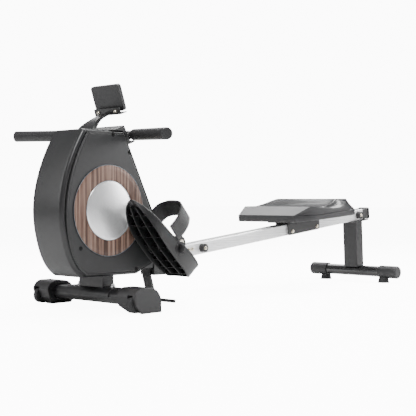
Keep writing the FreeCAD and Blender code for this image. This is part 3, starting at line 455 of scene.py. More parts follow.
def outline_of(node, samples=260):
    """The outer edge of a flat-faced CAD node seen along Y, evenly spaced, as (x, z) pairs."""
    vertices = [v.co for v in frame["nodes"][node].data.vertices]
    count = len(vertices)
    middle = Vector((sum(v.x for v in vertices) / count, 0, sum(v.z for v in vertices) / count))
    spread = {}
    for v in vertices:
        angle = math.atan2(v.z - middle.z, v.x - middle.x)
        reach = math.hypot(v.x - middle.x, v.z - middle.z)
        key = round(angle, 4)
        if reach > spread.get(key, (0,))[0]:
            spread[key] = (reach, v.x, v.z)
    hull = convex([(x, z) for _, x, z in spread.values()])
    return resample(hull, samples)


def convex(points):
    """The convex hull of (x, z) points, anticlockwise."""
    points = sorted(set(points))

    def half(order):
        chain = []
        for p in order:
            while len(chain) > 1 and turn(chain[-2], chain[-1], p) <= 0:
                chain.pop()
            chain.append(p)
        return chain[:-1]
    return half(points) + half(points[::-1])


def turn(a, b, c):
    """Twice the signed area of a triangle: above 0 where a, b, c turn left."""
    return (b[0] - a[0]) * (c[1] - a[1]) - (b[1] - a[1]) * (c[0] - a[0])


def resample(loop, samples):
    """Points at even steps along a closed (x, z) line."""
    lengths = [math.dist(p, q) for p, q in zip(loop, loop[1:] + loop[:1])]
    step, result, index, gone = sum(lengths) / samples, [], 0, 0.0
    for i in range(samples):
        want = i * step
        while gone + lengths[index] < want:
            gone += lengths[index]
            index += 1
        part = (want - gone) / lengths[index]
        p, q = loop[index], loop[(index + 1) % len(loop)]
        result.append((p[0] + part * (q[0] - p[0]), p[1] + part * (q[1] - p[1])))
    return result


def normals(loop):
    """Outward unit normals of an anticlockwise (x, z) loop."""
    result = []
    for i in range(len(loop)):
        before, after = loop[i - 2], loop[(i + 2) % len(loop)]
        dx, dz = after[0] - before[0], after[1] - before[1]
        length = math.hypot(dx, dz)
        result.append((dz / length, -dx / length))
    return result


def shrunk(loop, ways, inset, y):
    """A loop moved in along its normals, as points at one y."""
    return [Vector((p[0] - inset * n[0], y, p[1] - inset * n[1])) for p, n in zip(loop, ways)]


# ---------------------------------------------------------------- housing

def arc_steps(start, end, count=6):
    """(y, inset) pairs round a quarter circle from start to end, bulging outward."""
    (y0, s0), (y1, s1) = start, end
    return [(y0 + (y1 - y0) * math.sin(t), s0 + (s1 - s0) * (1 - math.cos(t)))
            for t in (math.pi / 2 * i / count for i in range(count + 1))]


def housing_band():
    """The wrap-round shell: a crowned band with rounded shoulders and a lip each side."""
    loop = outline_of("centre_shell")
    ways = normals(loop)
    half = [(0.0, 0.0), (0.02, 0.0), (0.040, 0.0), (0.050, 0.0)]
    half += arc_steps((0.0535, 0.0), (HOUSING_HALF, 0.0085), 8)
    half += [(HOUSING_HALF + 0.0002, 0.0105), (HOUSING_HALF, 0.0124), (0.0624, 0.0130), (0.0585, 0.0131),
             (0.0575, 0.0160), (0.0400, 0.0160)]
    profile = [(-y, s) for y, s in half[:0:-1]] + half
    points = []
    for y, inset in profile:
        points += shrunk(loop, ways, inset, y)
    faces = rings_to_faces(len(profile), len(loop), closed_rings=True)
    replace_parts(make("housing_band", points, faces, "dark_shell", "root"), "centre_shell")


def side_cover(side, word):
    """A side plate set in the band: rolled border, fine step and a flat field."""
    loop = outline_of(word + "_side_cover")
    ways = normals(loop)
    steps = [(0.058, 0.0006), (0.0655, 0.0004), (0.0664, 0.0007), (0.0669, 0.0014), (COVER_FACE, 0.0024),
             (COVER_FACE, 0.0046), (0.0665, 0.0052), (0.0665, 0.0064), (COVER_FACE - 0.0001, 0.0070)]
    rings = [shrunk(loop, ways, inset, side * y) for y, inset in steps]
    middle = Vector((DIAL[0] + FRONT_X, side * COVER_FACE, DIAL[1]))
    rings += [[p.lerp(middle, share) for p in rings[-1]] for share in (0.01, 0.15, 0.35, 0.6)]
    around = len(loop)
    faces = rings_to_faces(len(rings), around, close_ends=False)
    faces.append(tuple(range(around)))
    points = [p for ring in rings for p in ring] + [middle]
    hub, base = len(points) - 1, (len(rings) - 1) * around
    faces += [(base + i, base + (i + 1) % around, hub) for i in range(around)]
    piece = make("cover_" + word, points, faces, "cover", "root")
    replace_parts(piece, word + "_side_cover")


def dial(side, word):
    """The wood-look ring, a thin bezel each side of it and the domed disc."""
    place = facing(Vector((0, side, 0)), at(DIAL[0], side * COVER_FACE, DIAL[1]))
    top = 0.003
    ring = [(DISC_RADIUS + 0.0008, 0), (DISC_RADIUS + 0.0008, top - 0.0005), (DISC_RADIUS + 0.0014, top),
            (0.09, top), (0.1, top), (0.11, top), (RING_RADIUS - 0.0022, top),
            (RING_RADIUS - 0.0016, top - 0.0005), (RING_RADIUS - 0.0016, 0)]
    points = lathe(ring, place, DIAL_STEPS)[0]
    faces = rings_to_faces(len(ring), DIAL_STEPS, closed_rings=True)
    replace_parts(make("wood_ring_" + word, points, faces, "wood_look", "root"), word + "_wood_ring")

    trims = []
    for radius in (DISC_RADIUS + 0.0004, RING_RADIUS - 0.0008):
        trims.append(hoop(place, radius, 0.0012, top - 0.0006))
    trim = make("dial_trim_" + word, *join(trims), "bezel", "root")

    rise, shoulder = 0.009, 0.0034
    dome = [(DISC_RADIUS - 0.0004, 0.0), (DISC_RADIUS - 0.0004, 0.0026), (DISC_RADIUS - 0.0012, shoulder)]
    for i in range(1, 24):
        radius = (DISC_RADIUS - 0.0012) * (1 - i / 24)
        dome.append((radius, shoulder + (rise - shoulder) * (1 - (radius / DISC_RADIUS) ** 2.2)))
    dome.append((0.0004, rise))
    disc = make("dial_disc_" + word, *lathe(dome, place, DIAL_STEPS), "silver_disc", "root")
    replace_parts(disc, word + "_centre_disc")


def hoop(place, radius, thick, height, around=DIAL_STEPS, round_steps=8):
    """A thin ring of round section about a frame's Z axis."""
    points = []
    for i in range(around):
        angle = 2 * math.pi * i / around
        for j in range(round_steps):
            swing = 2 * math.pi * j / round_steps
            reach = radius + thick / 2 * math.cos(swing)
            points.append(place @ Vector((reach * math.cos(angle), reach * math.sin(angle),
                                          height + thick / 2 * math.sin(swing))))
    return points, rings_to_faces(around, round_steps, closed_rings=True)


# ---------------------------------------------------------------- small hardware

def cross_screw(place, radius, height):
    """A pan-head screw with a cross recess, built on a square grid bent to a disc."""
    cells, points, faces = 24, [], []
    slot, depth = 0.22, 0.4
    for i in range(cells + 1):
        for j in range(cells + 1):
            a, b = 2 * i / cells - 1, 2 * j / cells - 1
            x, y = a * math.sqrt(1 - b * b / 2), b * math.sqrt(1 - a * a / 2)
            reach = min(math.hypot(x, y), 1.0)
            z = height * math.sqrt(max(0.0, 1 - 0.62 * reach ** 2))
            arm = min(abs(a), abs(b)) < slot / 2 + 0.02 and max(abs(a), abs(b)) < 0.56
            points.append(place @ Vector((x * radius, y * radius, z - (depth * height if arm else 0))))
    for i in range(cells):
        for j in range(cells):
            k = i * (cells + 1) + j
            faces.append((k, k + 1, k + cells + 2, k + cells + 1))
    rim = ([(0, j) for j in range(cells)] + [(i, cells) for i in range(cells)]
           + [(cells, j) for j in range(cells, 0, -1)] + [(i, 0) for i in range(cells, 0, -1)])
    start = len(points)
    for i, j in rim:
        edge = place.inverted() @ points[i * (cells + 1) + j]
        points.append(place @ Vector((edge.x, edge.y, 0)))
    for n, (i, j) in enumerate(rim):
        m = (n + 1) % len(rim)
        faces.append((i * (cells + 1) + j, rim[m][0] * (cells + 1) + rim[m][1], start + m, start + n))
    faces.append(tuple(range(start, start + len(rim))))
    return points, faces


def recessed_screw(place, radius, height):
    """A cross-recess screw standing in a dark counterbore with a raised lip."""
    bore = [(radius * 0.9, height * 0.1), (radius * 1.25, height * 0.1), (radius * 1.4, height * 0.45),
            (radius * 1.6, height * 0.45), (radius * 1.7, 0)]
    return join([lathe(bore, place, 36), cross_screw(place, radius, height)])


def hex_bolt(place, radius, height, washer=1.28):
    """A hexagon bolt head with a chamfered crown on a thin washer."""
    parts = [lathe([(radius * washer * 0.3, 0), (radius * washer, 0), (radius * washer, height * 0.18),
                    (radius * washer * 0.97, height * 0.24), (radius * 0.8, height * 0.24)], place, 36)]
    points, around = [], 36
    for z, cut_back in ((0.22, 9.0), (0.82, 9.0), (0.93, 0.93), (1.0, 0.85)):
        for i in range(around):
            angle = 2 * math.pi * i / around
            flat = math.cos(math.pi / 6) / math.cos((angle + math.pi / 6) % (math.pi / 3) - math.pi / 6)
            reach = radius * min(flat, cut_back)
            points.append(place @ Vector((reach * math.cos(angle), reach * math.sin(angle), z * height)))
    return join(parts + [(points, rings_to_faces(4, around))])


def dome_bolt(place, radius, height, washer=1.15):
    """A domed cap head on a washer."""
    profile = [(radius * washer, 0), (radius * washer, height * 0.16),
               (radius * washer * 0.97, height * 0.2), (radius * 0.98, height * 0.2), (radius, height * 0.3)]
    profile += [(radius * math.cos(t), height * (0.3 + 0.7 * math.sin(t)))
                for t in (math.pi / 2 * i / 8 for i in range(1, 8))]
    profile.append((radius * 0.02, height))
    return lathe(profile, place, 32)


def heads(name, node, body, builder, look, direction_of, radius=None):
    """Replace each plain head of a CAD node with a detailed one in the same place."""
    parts = []
    for middle, extent in islands(node):
        way = direction_of(middle)
        depth = abs(extent.dot(Vector([abs(c) for c in way])))
        place = facing(way, middle - way * depth / 2)
        parts.append(builder(place, radius or max(extent) / 2, depth))
    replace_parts(make(name, *join(parts), look, body), node)


def outward(middle):
    """Away from the machine's middle plane."""
    return Vector((0, 1 if middle.y > 0 else -1, 0))


# ---------------------------------------------------------------- handle

GRIP_RADIUS, BAR_RADIUS = 0.016, 0.0125
BEND_X, BEND_Z, HALF_CENTRE = 0.073, 0.483, 0.062
TIP = (-0.044, 0.318, 0.4773)
ROLL = math.tan(math.radians(1.76))


def grip(side, word):
    """A foam grip: an even sleeve, rolled inner collar and a rounded end with an inset disc."""
    start = at(BEND_X, side * HALF_CENTRE, BEND_Z + side * HALF_CENTRE * ROLL)
    end = at(TIP[0], side * TIP[1], TIP[2] + side * TIP[1] * ROLL)
    way = (end - start).normalized()
    length = (end - start).length
    place = facing(way, start)
    first, last = 0.017, length + 0.005
    sleeve = [(BAR_RADIUS + 0.0002, first), (GRIP_RADIUS - 0.0022, first),
              (GRIP_RADIUS - 0.0006, first + 0.001), (GRIP_RADIUS, first + 0.003)]
    for i in range(1, 24):
        sleeve.append((GRIP_RADIUS, first + 0.003 + (last - 0.008 - first) * i / 24))
    for i in range(7):
        t = math.pi / 2 * i / 6
        sleeve.append((GRIP_RADIUS - 0.004 * (1 - math.cos(t)), last - 0.004 + 0.004 * math.sin(t)))
    sleeve += [(GRIP_RADIUS - 0.0046, last - 0.0002), (GRIP_RADIUS - 0.005, last - 0.0011),
               (GRIP_RADIUS - 0.0065, last - 0.0011), (0.004, last - 0.0008), (0.001, last - 0.0008)]
    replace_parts(make("grip_foam_" + word, *lathe(sleeve, place, 72), "foam", "handle"), "grip_" + word)


# ---------------------------------------------------------------- webbing

def ribbon(path, across, width, thick):
    """A strap along a path: points, faces and UVs in metres. across gives its width direction."""
    section = [(-0.5, -0.28), (-0.485, -0.5), (-0.25, -0.5), (0, -0.5), (0.25, -0.5), (0.485, -0.5),
               (0.5, -0.28), (0.5, 0.28), (0.485, 0.5), (0.25, 0.5), (0, 0.5), (-0.25, 0.5), (-0.485, 0.5),
               (-0.5, 0.28)]
    points, uv, gone = [], [], 0.0
    for i, point in enumerate(path):
        before, after = path[max(i - 1, 0)], path[min(i + 1, len(path) - 1)]
        tangent = (after - before).normalized()
        side = (across - tangent * across.dot(tangent)).normalized()
        normal = tangent.cross(side)
        if i:
            gone += (point - path[i - 1]).length
        for a, b in section:
            points.append(point + side * a * width + normal * b * thick)
            uv.append((gone, a * width + (0.2 if b > 0 else 0.0)))
    return points, rings_to_faces(len(path), len(section)), uv


def curve(p, q, r, s, t):
    """A smooth way from q to r as t runs from 0 to 1, in line with p before and s after."""
    return 0.5 * ((2 * q) + (r - p) * t + (2 * p - 5 * q + 4 * r - s) * t * t
                  + (3 * q - p - 3 * r + s) * t ** 3)


def spline(points, steps=8):
    """A smooth line through the points, for a strap's route."""
    result = []
    extended = [points[0] * 2 - points[1]] + points + [points[-1] * 2 - points[-2]]
    for i in range(1, len(extended) - 2):
        result += [curve(*extended[i - 1:i + 3], s / steps) for s in range(steps)]
    return result + [points[-1]]


def foot_strap(side, word):
    """A loop of webbing over the foot: two halves, overlapped at the top where they fasten."""
    place = pedal_frame(side)
    edge, width, thick = 0.0585, 0.052, 0.0028

    def half(line):
        """A strap through (y, z) points, leaning back as it rises over the foot."""
        path = [place @ Vector((-0.050 - 0.010 * smooth(0.03, 0.1, z), y, z)) for y, z in line]
        return ribbon(spline(path), place.to_3x3() @ ALONG, width, thick)

    top = half([(-edge, 0.006), (-edge, 0.030), (-edge + 0.0005, 0.052), (-edge + 0.004, 0.070),
                (-edge + 0.013, 0.088), (-edge + 0.028, 0.099), (-0.012, 0.1025), (0.010, 0.1030),
                (0.026, 0.1005)])
    under = half([(edge, 0.006), (edge, 0.030), (edge - 0.0005, 0.052), (edge - 0.004, 0.070),
                  (edge - 0.013, 0.0875), (edge - 0.028, 0.0965), (0.012, 0.0992), (-0.010, 0.0995),
                  (-0.022, 0.0985)])
    points, faces = join([top[:2], under[:2]])
    piece = make("foot_webbing_" + word, points, faces, "webbing", "pedal_" + word, uv=top[2] + under[2])
    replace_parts(piece, "foot_strap_" + word)


def pull_strap():
    """The strap from the reel to the handle."""
    width, thick = 0.026, 0.0018
    start, clear = at(0.0336, 0, 0.4480), at(0.0590, 0, 0.4690)
    path = [start.lerp(clear, i / 60) for i in range(61)]
    points, faces, uv = ribbon(path, ACROSS, width, thick)
    piece = make("pull_webbing", points, faces, "webbing", None, uv=uv)
    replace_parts(piece, "pull_strap")
    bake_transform(piece)


# ---------------------------------------------------------------- footplates

PEDAL_TOE, PEDAL_HEEL, PEDAL_HALF = -0.188, 0.104, 0.057
# Where the outline starts to curve in at the toe and at the heel, and its half width at the heel's end.
TOE_CURVE, HEEL_CURVE, HEEL_HALF = -0.070, 0.020, 0.026
SOLE_TOP = ((-0.188, -0.0145), (-0.130, -0.008), (-0.060, 0.0005), (0.0, 0.016), (0.050, 0.027),
            (0.104, 0.038))
SOLE_LOW = ((-0.188, -0.0195), (-0.150, -0.0285), (-0.070, -0.0365), (0.020, -0.0315), (0.070, -0.0235),
            (0.092, -0.019), (0.104, -0.006))
PEDAL_WALL = 0.0034


def ease(knots, x):
    """A smooth line through (x, value) knots, level beyond both ends."""
    if x <= knots[0][0]:
        return knots[0][1]
    for i in range(len(knots) - 1):
        (x0, v0), (x1, v1) = knots[i], knots[i + 1]
        if x <= x1:
            before = knots[i - 1] if i else knots[0]
            after = knots[i + 2] if i + 2 < len(knots) else knots[-1]
            span = x1 - x0
            m0 = (v1 - before[1]) / (x1 - before[0]) * span
            m1 = (after[1] - v0) / (after[0] - x0) * span
            t = (x - x0) / span
            return ((2 * t ** 3 - 3 * t * t + 1) * v0 + (t ** 3 - 2 * t * t + t) * m0
                    + (3 * t * t - 2 * t ** 3) * v1 + (t ** 3 - t * t) * m1)
    return knots[-1][1]


def sole_half(x):
    """Half the footplate's width at x."""
    if x < TOE_CURVE:
        t = min(1.0, (TOE_CURVE - x) / (TOE_CURVE - PEDAL_TOE))
        return PEDAL_HALF * (1 - t * t) ** 0.62
    if x > HEEL_CURVE:
        t = min(1.0, (x - HEEL_CURVE) / (PEDAL_HEEL - HEEL_CURVE))
        return HEEL_HALF + (PEDAL_HALF - HEEL_HALF) * math.sqrt(1 - t * t)
    return PEDAL_HALF


def sole_outline(samples=168):
    """The footplate's outline seen from above, evenly spaced, as (x, y) pairs."""
    toe, heel = TOE_CURVE - PEDAL_TOE, PEDAL_HEEL - HEEL_CURVE
    xs = [PEDAL_TOE] + [TOE_CURVE - toe * math.cos(math.pi / 2 * i / 40) for i in range(1, 41)]
    xs += [TOE_CURVE + 0.009 * i for i in range(1, 11)]
    xs += [HEEL_CURVE + heel * math.sin(math.pi / 2 * i / 24) for i in range(1, 25)]
    half = [(x, sole_half(x)) for x in xs] + [(PEDAL_HEEL, 0.013), (PEDAL_HEEL, 0.0)]
    return resample([(x, -y) for x, y in half] + half[-2:0:-1], samples)


def pivot_bosses():
    """The tube that the footplate turns on, and a stepped boss round each of its ends."""
    edge = PEDAL_HALF
    tube = [(0.0084, -edge + 0.004), (0.0135, -edge + 0.004), (0.0135, edge - 0.004), (0.0084, edge - 0.004)]
    boss = [(radius, edge + height) for radius, height in (
        (0.0085, -0.008), (0.0185, -0.008), (0.0185, 0.0006), (0.0178, 0.0014), (0.0155, 0.0014),
        (0.0150, 0.0006), (0.0136, 0.0006), (0.0132, 0.0022), (0.0112, 0.0022), (0.0108, 0.0008),
        (0.0085, 0.0008))]
    parts = [lathe(tube, Matrix.Rotation(math.radians(-90), 4, "X"), 40)]
    for end in (-1, 1):
        parts.append(lathe(boss, Matrix.Rotation(math.radians(-90 * end), 4, "X"), 48))
    return parts


def footplate(side, word):
    """A boat-shaped footplate: treaded sole, heel cup, and a ribbed hollow below."""
    place = pedal_frame(side)
    outline = sole_outline()
    ways = normals(outline)
    around = len(outline)

    def spine(x):
        """Where on the middle line a point of the outline shrinks to."""
        return min(max(x, -0.140), 0.062)

    def skin(share):
        """The outline shrunk towards that line."""
        return [(spine(x) + (x - spine(x)) * share, y * share) for x, y in outline]

    def top_height(x, share):
        """Height of the sole's top, with its rim, heel cup and tread."""
        rim = ease(SOLE_TOP, x)
        cup = smooth(-0.012, 0.030, x)
        floor = rim - cup * (rim - 0.0035)
        tread = 0.0013 * smooth(0.35, 0.75, math.sin(2 * math.pi * x / 0.014)) * smooth(0.86, 0.78, share)
        tread *= 1 - smooth(-0.020, 0.0, x) + smooth(0.02, 0.03, x)
        return floor + (rim - floor) * smooth(0.72, 0.90, share) + tread

    def inset(amount):
        """The outline moved in by an amount."""
        return [(x - n[0] * amount, y - n[1] * amount) for (x, y), n in zip(outline, ways)]

    rings = []
    for share in (0.0, 0.16, 0.32, 0.48, 0.62, 0.72, 0.77, 0.82, 0.87, 0.92):
        rings.append([Vector((x, y, top_height(x, share))) for x, y in skin(share)])
    for amount, drop in ((0.0022, 0.0), (0.0008, 0.0005), (0.0002, 0.0014), (0.0, 0.0028), (0.0, 0.0060),
                         (0.0010, 0.0068), (0.0010, 0.0080)):
        rings.append([Vector((x, y, max(ease(SOLE_TOP, x) - drop, ease(SOLE_LOW, x) + 0.0022)))
                      for x, y in inset(amount)])
    for amount, share in ((0.0010, 0.35), (0.0010, 0.70), (0.0010, 0.93), (0.0014, 0.985), (0.0022, 1.0)):
        ring = []
        for x, y in inset(amount):
            low = ease(SOLE_LOW, x)
            high = max(ease(SOLE_TOP, x) - 0.008, low + 0.002)
            ring.append(Vector((x, y, high + (low - high) * share)))
        rings.append(ring)
    rings.append([Vector((x, y, ease(SOLE_LOW, x))) for x, y in inset(0.0030)])
    rings.append([Vector((x, y, ease(SOLE_LOW, x) + 0.0008)) for x, y in inset(PEDAL_WALL)])

    def ceiling(x, share=1.0):
        """Height of the roof of the hollow below the sole."""
        return max(top_height(x, min(share, 0.7)) - PEDAL_WALL - 0.001, ease(SOLE_LOW, x) + 0.0015)

    rings.append([Vector((x, y, ceiling(x))) for x, y in inset(PEDAL_WALL + 0.0004)])
    for share in (0.86, 0.6, 0.3, 0.0):
        rings.append([Vector((x, y, ceiling(x))) for x, y in skin(share)])
    points = [p for ring in rings for p in ring]
    parts = [(points, rings_to_faces(len(rings), around, close_ends=False))]

    def wall(path, height_share=1.0, thick=0.003):
        """A rib below the sole along (x, y) points."""
        line, lip = [], 0.0007
        for i, (x, y) in enumerate(path):
            a, b = path[max(i - 1, 0)], path[min(i + 1, len(path) - 1)]
            length = math.dist(a, b)
            nx, ny = -(b[1] - a[1]) / length * thick / 2, (b[0] - a[0]) / length * thick / 2
            high = ceiling(x) + 0.0008
            low = high + (ease(SOLE_LOW, x) + 0.0006 - high) * height_share
            line += [Vector((x + share * nx, y + share * ny, z)) for share, z in (
                (1, high), (1, low + lip), (0.5, low), (-0.5, low), (-1, low + lip), (-1, high))]
        parts.append((line, rings_to_faces(len(path), 6)))

    lengthwise = [-0.166 + 0.248 * i / 40 for i in range(41)]
    for share in (-0.36, 0.36):
        wall([(x, share * (sole_half(x) - PEDAL_WALL * 0.5)) for x in lengthwise])
    for x, share in ((-0.140, 0.96), (-0.104, 0.99), (-0.066, 1.0), (-0.026, 1.0), (0.026, 1.0),
                     (0.056, 0.99), (0.082, 0.94)):
        half = (sole_half(x) - 0.002) * share
        wall([(x + 0.004 * (1 - (t / 4) ** 2), half * t / 4) for t in range(-4, 5)], 0.72, 0.0026)
    parts += pivot_bosses()
    points, faces = join(parts)
    piece = make("footplate_moulding_" + word, [place @ p for p in points], faces, "pedal_plastic",
                 "pedal_" + word)
    weld(piece)
    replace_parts(piece, "footplate_" + word)


def weld(piece):
    """Merge the points that a collapsed ring leaves in one place, and drop empty faces."""
    built = bmesh.new()
    built.from_mesh(piece.data)
    bmesh.ops.remove_doubles(built, verts=built.verts, dist=1e-5)
    bmesh.ops.dissolve_degenerate(built, dist=1e-6, edges=built.edges)
    bmesh.ops.recalc_face_normals(built, faces=built.faces)
    built.to_mesh(piece.data)
    built.free()


# ---------------------------------------------------------------- seat

SEAT_HUB = Vector((0.615, 0.0, 0.0655))
# Height of the skirt's lower edge at the front, and how fast it falls towards the rear.
SEAT_LOW, SEAT_FALL = 0.0372, 0.0296
# Half of the seat from front centre to rear centre, in rail millimetres: outline (u, v), skirt top w,
# then side edge, ridge and dish edge as (u, v, w).
SEAT_ROWS = (
    (436, 0, 59.7, 438.5, 0, 59.9, 498, 0, 82.5, 535, 0, 80.0),
    (436, 60, 59.7, 438.5, 60, 59.9, 498, 70, 82.5, 535, 50, 80.0),
    (436, 119.5, 59.7, 438.5, 119, 59.9, 498, 128, 82.5, 537, 92, 79.8),
    (455, 127, 58.3, 455, 126.2, 66.0, 498, 134, 82.5, 541, 100, 79.2),
    (476, 134.5, 56.3, 476, 133.7, 74.1, 498, 138, 82.5, 547, 106, 78.5),
    (498, 142.5, 54.0, 498, 141.5, 82.3, 500, 139.5, 82.4, 555, 111, 77.0),
    (522, 147.5, 51.5, 522, 146.5, 79.0, 524, 142.5, 79.3, 570, 117, 75.0),
    (547, 151, 50.0, 547, 150, 75.0, 549, 145.5, 76.5, 590, 122, 73.5),
    (577, 154, 49.7, 577, 153, 68.0, 578, 149, 76.8, 610, 125, 72.5),
    (611, 156.5, 49.4, 611, 155.5, 63.4, 612, 143.5, 81.5, 630, 123.5, 77.0),
    (647, 158, 48.8, 647, 157, 63.0, 640, 134.5, 88.0, 648, 120, 81.0),
    (675, 158, 48.3, 669, 156.5, 69.0, 657, 127, 91.2, 660, 115, 82.8),
    (697, 157.2, 48.0, 681, 154.5, 79.0, 670, 120, 90.2, 671, 107, 81.5),
    (715, 155.3, 47.8, 686, 150.5, 88.0, 683, 112, 88.8, 681, 97, 80.3),
    (738, 148, 47.6, 706, 137, 86.2, 698, 96, 87.2, 690, 80, 79.3),
    (757, 131, 47.4, 724, 116, 84.3, 709, 77, 86.0, 697, 60, 78.5),
    (770, 102, 47.2, 740, 88, 82.6, 717, 54, 85.1, 701, 40, 78.0),
    (777, 60, 47.1, 750, 50, 81.5, 721, 28, 84.7, 703, 20, 77.8),
    (780, 0, 47.0, 754, 0, 81.1, 722, 0, 84.6, 703, 0, 77.8))
SEAT_CORNER_ROWS = 5


def other_side(row):
    """A seat row with each of its v values turned round."""
    return [-value if i % 3 == 1 else value for i, value in enumerate(row)]


def seat_stations():
    """The rows filled in between, straight up to the bevel's end and smooth behind it, then mirrored."""
    rows = [[value / 1000 for value in row] for row in SEAT_ROWS]
    half = []
    for k in range(len(rows) - 1):
        here, there = rows[k], rows[k + 1]
        if k < SEAT_CORNER_ROWS:
            half += [[x + (y - x) * j / 3 for x, y in zip(here, there)] for j in range(3)]
            continue
        before = rows[max(k - 1, SEAT_CORNER_ROWS)]
        after = rows[k + 2] if k + 2 < len(rows) else other_side(here)
        for t in (j / 5 for j in range(5)):
            half.append([curve(*four, t) for four in zip(before, here, there, after)])
    half.append(rows[-1])
    return half + [other_side(row) for row in half[-2:0:-1]]


def rounded(before, corner, after, radius):
    """A corner of a profile with a small round and a support point on either side."""
    back, ahead = before - corner, after - corner
    near, far = min(radius, back.length * 0.3), min(radius, ahead.length * 0.3)
    start, end = corner + back.normalized() * near, corner + ahead.normalized() * far
    return [corner + back.normalized() * near * 2.4, start, (start + end) / 4 + corner / 2, end,
            corner + ahead.normalized() * far * 2.4]


def seat_profile(row):
    """One section of the seat from its underside up the skirt and over to the middle of the dish."""
    edge, ridge, rim = (Vector(row[i:i + 3]) for i in (3, 6, 9))
    base = Vector((row[0], row[1], 0))
    inward = (Vector((SEAT_HUB.x, 0, 0)) - base).normalized()
    low, crease = SEAT_LOW - (row[0] - SEAT_ROWS[0][0] / 1000) * SEAT_FALL, row[2]
    step = min(1.0, max(0.0, edge.z - crease - 0.0002) / 0.008)
    skirt = ((0.024, 0.0466), (0.020, low + 0.0035), (0.016, low), (0.0030, low), (0.0008, low + 0.0008),
             (0, low + 0.003), (0, (low + crease) / 2), (0, crease - 0.0024), (0.0001, crease - 0.0010),
             (0.0024 * step, crease - 0.0002), (0.0034 * step, crease + 0.0004 * step),
             (0.0026 * step, crease + 0.0020 * step))
    points = [base + inward * inset + UP * height for inset, height in skirt]
    foot = points[-1]
    for t in (0.3, 0.6):
        points.append(foot.lerp(edge, t) + inward * 0.0016 * step * math.sin(math.pi * t))
    points += rounded(foot, edge, ridge, 0.0011)
    scoop = smooth(0.56, 0.61, row[0]) * (1 - smooth(0.690, 0.715, row[0]))
    for t in (0.3, 0.5, 0.7):
        points.append(edge.lerp(ridge, t) + (inward - UP) * 0.0022 * scoop * math.sin(math.pi * t))
    points += rounded(edge, ridge, rim, 0.0012)
    points.append(ridge.lerp(rim, 0.5))
    floor = rim.lerp(SEAT_HUB, 0.16)
    floor.z = rim.z + (SEAT_HUB.z - rim.z) * 0.72
    points += rounded(ridge, rim, floor, 0.0012)
    points.append(rim.lerp(floor, 0.6))
    points.append(floor)
    for t in (0.15, 0.35, 0.6, 0.8):
        spot = floor.lerp(SEAT_HUB, t)
        spot.z = floor.z + (SEAT_HUB.z - floor.z) * math.sin(t * math.pi / 2)
        points.append(spot)
    return points


def seat():
    """Moulded seat: skirt with a shadow line, front bevel, leg reliefs, level rear rim and a dish."""
    sections = [seat_profile(row) for row in seat_stations()]
    around, rings = len(sections), len(sections[0])
    points = [SEAT_HUB] + [section[k] for k in range(rings - 1, -1, -1) for section in sections]
    faces = [(0, 1 + i, 1 + (i + 1) % around) for i in range(around)]
    faces += [tuple(i + 1 for i in f) for f in rings_to_faces(rings, around, close_ends=False)]
    last = 1 + (rings - 1) * around
    faces.append(tuple(range(last, last + around)))
    piece = make("seat_moulding", [RAIL @ p for p in points], faces, "seat_foam", "carriage")
    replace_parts(piece, "seat_pad")


# ---------------------------------------------------------------- build

housing_band()
for side, word in SIDES:
    side_cover(side, word)
    dial(side, word)
    grip(side, word)
    foot_strap(side, word)
    footplate(side, word)
heads("cover_screw_heads", "cover_screws", "root", recessed_screw, "screw_black", outward)
heads("rail_bolt_heads", "rail_bolts", "rail_arm", hex_bolt, "brass_bolt", outward)
heads("carriage_bolt_heads", "carriage_bolts", "carriage", hex_bolt, "brass_bolt", outward)
heads("console_bolt_heads", "console_bolts", "root", dome_bolt, "brass_bolt",
      lambda middle: SCREEN.to_3x3() @ -ALONG, 0.005)
heads("axle_nut_caps", "axle_end_nuts", "root", dome_bolt, "screw_black", outward)
pull_strap()
seat()


# ---------------------------------------------------------------- studio

FLOOR_REACH = 30.0
# Name, place, power in watts, width and height.
LAMPS = (("key", (-1.6, -1.7, 2.4), 75, 1.0, 1.0), ("front_strip", (-2.4, 1.5, 1.3), 22, 0.4, 1.8),
         ("rear_strip", (1.9, -1.7, 1.1), 40, 0.8, 1.4), ("top", (0.3, 0.3, 2.6), 55, 2.0, 0.8),
         ("far_soft", (1.5, 2.2, 2.5), 42, 1.6, 1.2), ("rear_top", (2.3, -0.1, 2.3), 85, 1.0, 1.0))
CAMERA_PLACE, CAMERA_TURN, CAMERA_LENS, CAMERA_SHIFT = (-2.34503, -2.09959, 0.300), -46.73, 85.03, -0.0204


def white_floor():
    """A flat floor that glows white for the camera and is plain paper for every other ray."""
    look = Look("studio_paper", roughness=0.85)
    spot = look.spot()
    paper = look.ramp(look.noise(spot, 3.0, 4.0), (0.3, (0.90, 0.90, 0.90)), (0.7, (0.93, 0.93, 0.93)))
    look.wear(paper, None, look.bump(look.noise(spot, 300.0, 3.0), 0.03))
    rays = look.node("ShaderNodeLightPath")
    look.shader.inputs["Emission Color"].default_value = (1, 1, 1, 1)
    glow = look.sum(rays.outputs["Is Camera Ray"], 10.0, "MULTIPLY")
    look.tree.links.new(glow, look.shader.inputs["Emission Strength"])
    mesh = bpy.data.meshes.new("floor")
    corners = [(-1, -1), (1, -1), (1, 1), (-1, 1)]
    mesh.from_pydata([(x * FLOOR_REACH, y * FLOOR_REACH, 0) for x, y in corners], [], [(0, 1, 2, 3)])
    mesh.materials.append(look.material)
    floor = bpy.data.objects.new("floor", mesh)
    bpy.context.scene.collection.objects.link(floor)


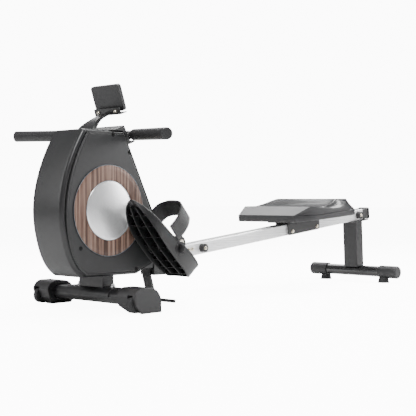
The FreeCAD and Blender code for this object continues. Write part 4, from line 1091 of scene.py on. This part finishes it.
def backdrop():
    """Grey all round for reflections, dark below and light above, and white where the camera sees it."""
    world = bpy.data.worlds.new("studio")
    world.use_nodes = True
    tree = world.node_tree
    place = add_node(tree, "ShaderNodeTexCoord")
    split = add_node(tree, "ShaderNodeSeparateXYZ", {"Vector": place.outputs["Generated"]})
    sky = add_node(tree, "ShaderNodeValToRGB", {"Fac": split.outputs["Z"]})
    stops = sky.color_ramp.elements
    stops.new(0.45)
    for stop, color in zip(stops, ((0.10, 0.10, 0.105, 1), (0.26, 0.26, 0.265, 1), (0.75, 0.75, 0.76, 1))):
        stop.color = color
    seen = add_node(tree, "ShaderNodeLightPath").outputs["Is Camera Ray"]
    mixer = add_node(tree, "ShaderNodeMix", {"Factor": seen}, data_type="RGBA")
    first, second = color_sockets(mixer.inputs)
    tree.links.new(sky.outputs["Color"], first)
    second.default_value = (1, 1, 1, 1)
    level = add_node(tree, "ShaderNodeMapRange", {"Value": seen}, **{"To Min": 1.0, "To Max": 11.0})
    background = tree.nodes["Background"]
    tree.links.new(color_sockets(mixer.outputs)[0], background.inputs["Color"])
    tree.links.new(level.outputs["Result"], background.inputs["Strength"])
    bpy.context.scene.world = world


def lamps():
    """Soft boxes, each turned to the machine's middle."""
    target = Vector((-0.2, 0, 0.25))
    for name, place, power, width, height in LAMPS:
        lamp = bpy.data.lights.new(name, "AREA")
        lamp.shape = "RECTANGLE"
        lamp.size, lamp.size_y = width, height
        lamp.energy = power
        holder = bpy.data.objects.new(name, lamp)
        holder.location = place
        holder.rotation_euler = (target - Vector(place)).to_track_quat("-Z", "Y").to_euler()
        bpy.context.scene.collection.objects.link(holder)


def photo_camera():
    """The camera that the photo was taken from: level, low and well back."""
    camera = bpy.data.cameras.new("camera")
    camera.sensor_width = 36
    camera.lens = CAMERA_LENS
    camera.shift_y = CAMERA_SHIFT
    camera.clip_end = 60
    viewer = bpy.data.objects.new("camera", camera)
    viewer.location = CAMERA_PLACE
    viewer.rotation_euler = (math.radians(90), 0, math.radians(CAMERA_TURN))
    bpy.context.scene.collection.objects.link(viewer)
    bpy.context.scene.camera = viewer


white_floor()
backdrop()
lamps()
photo_camera()
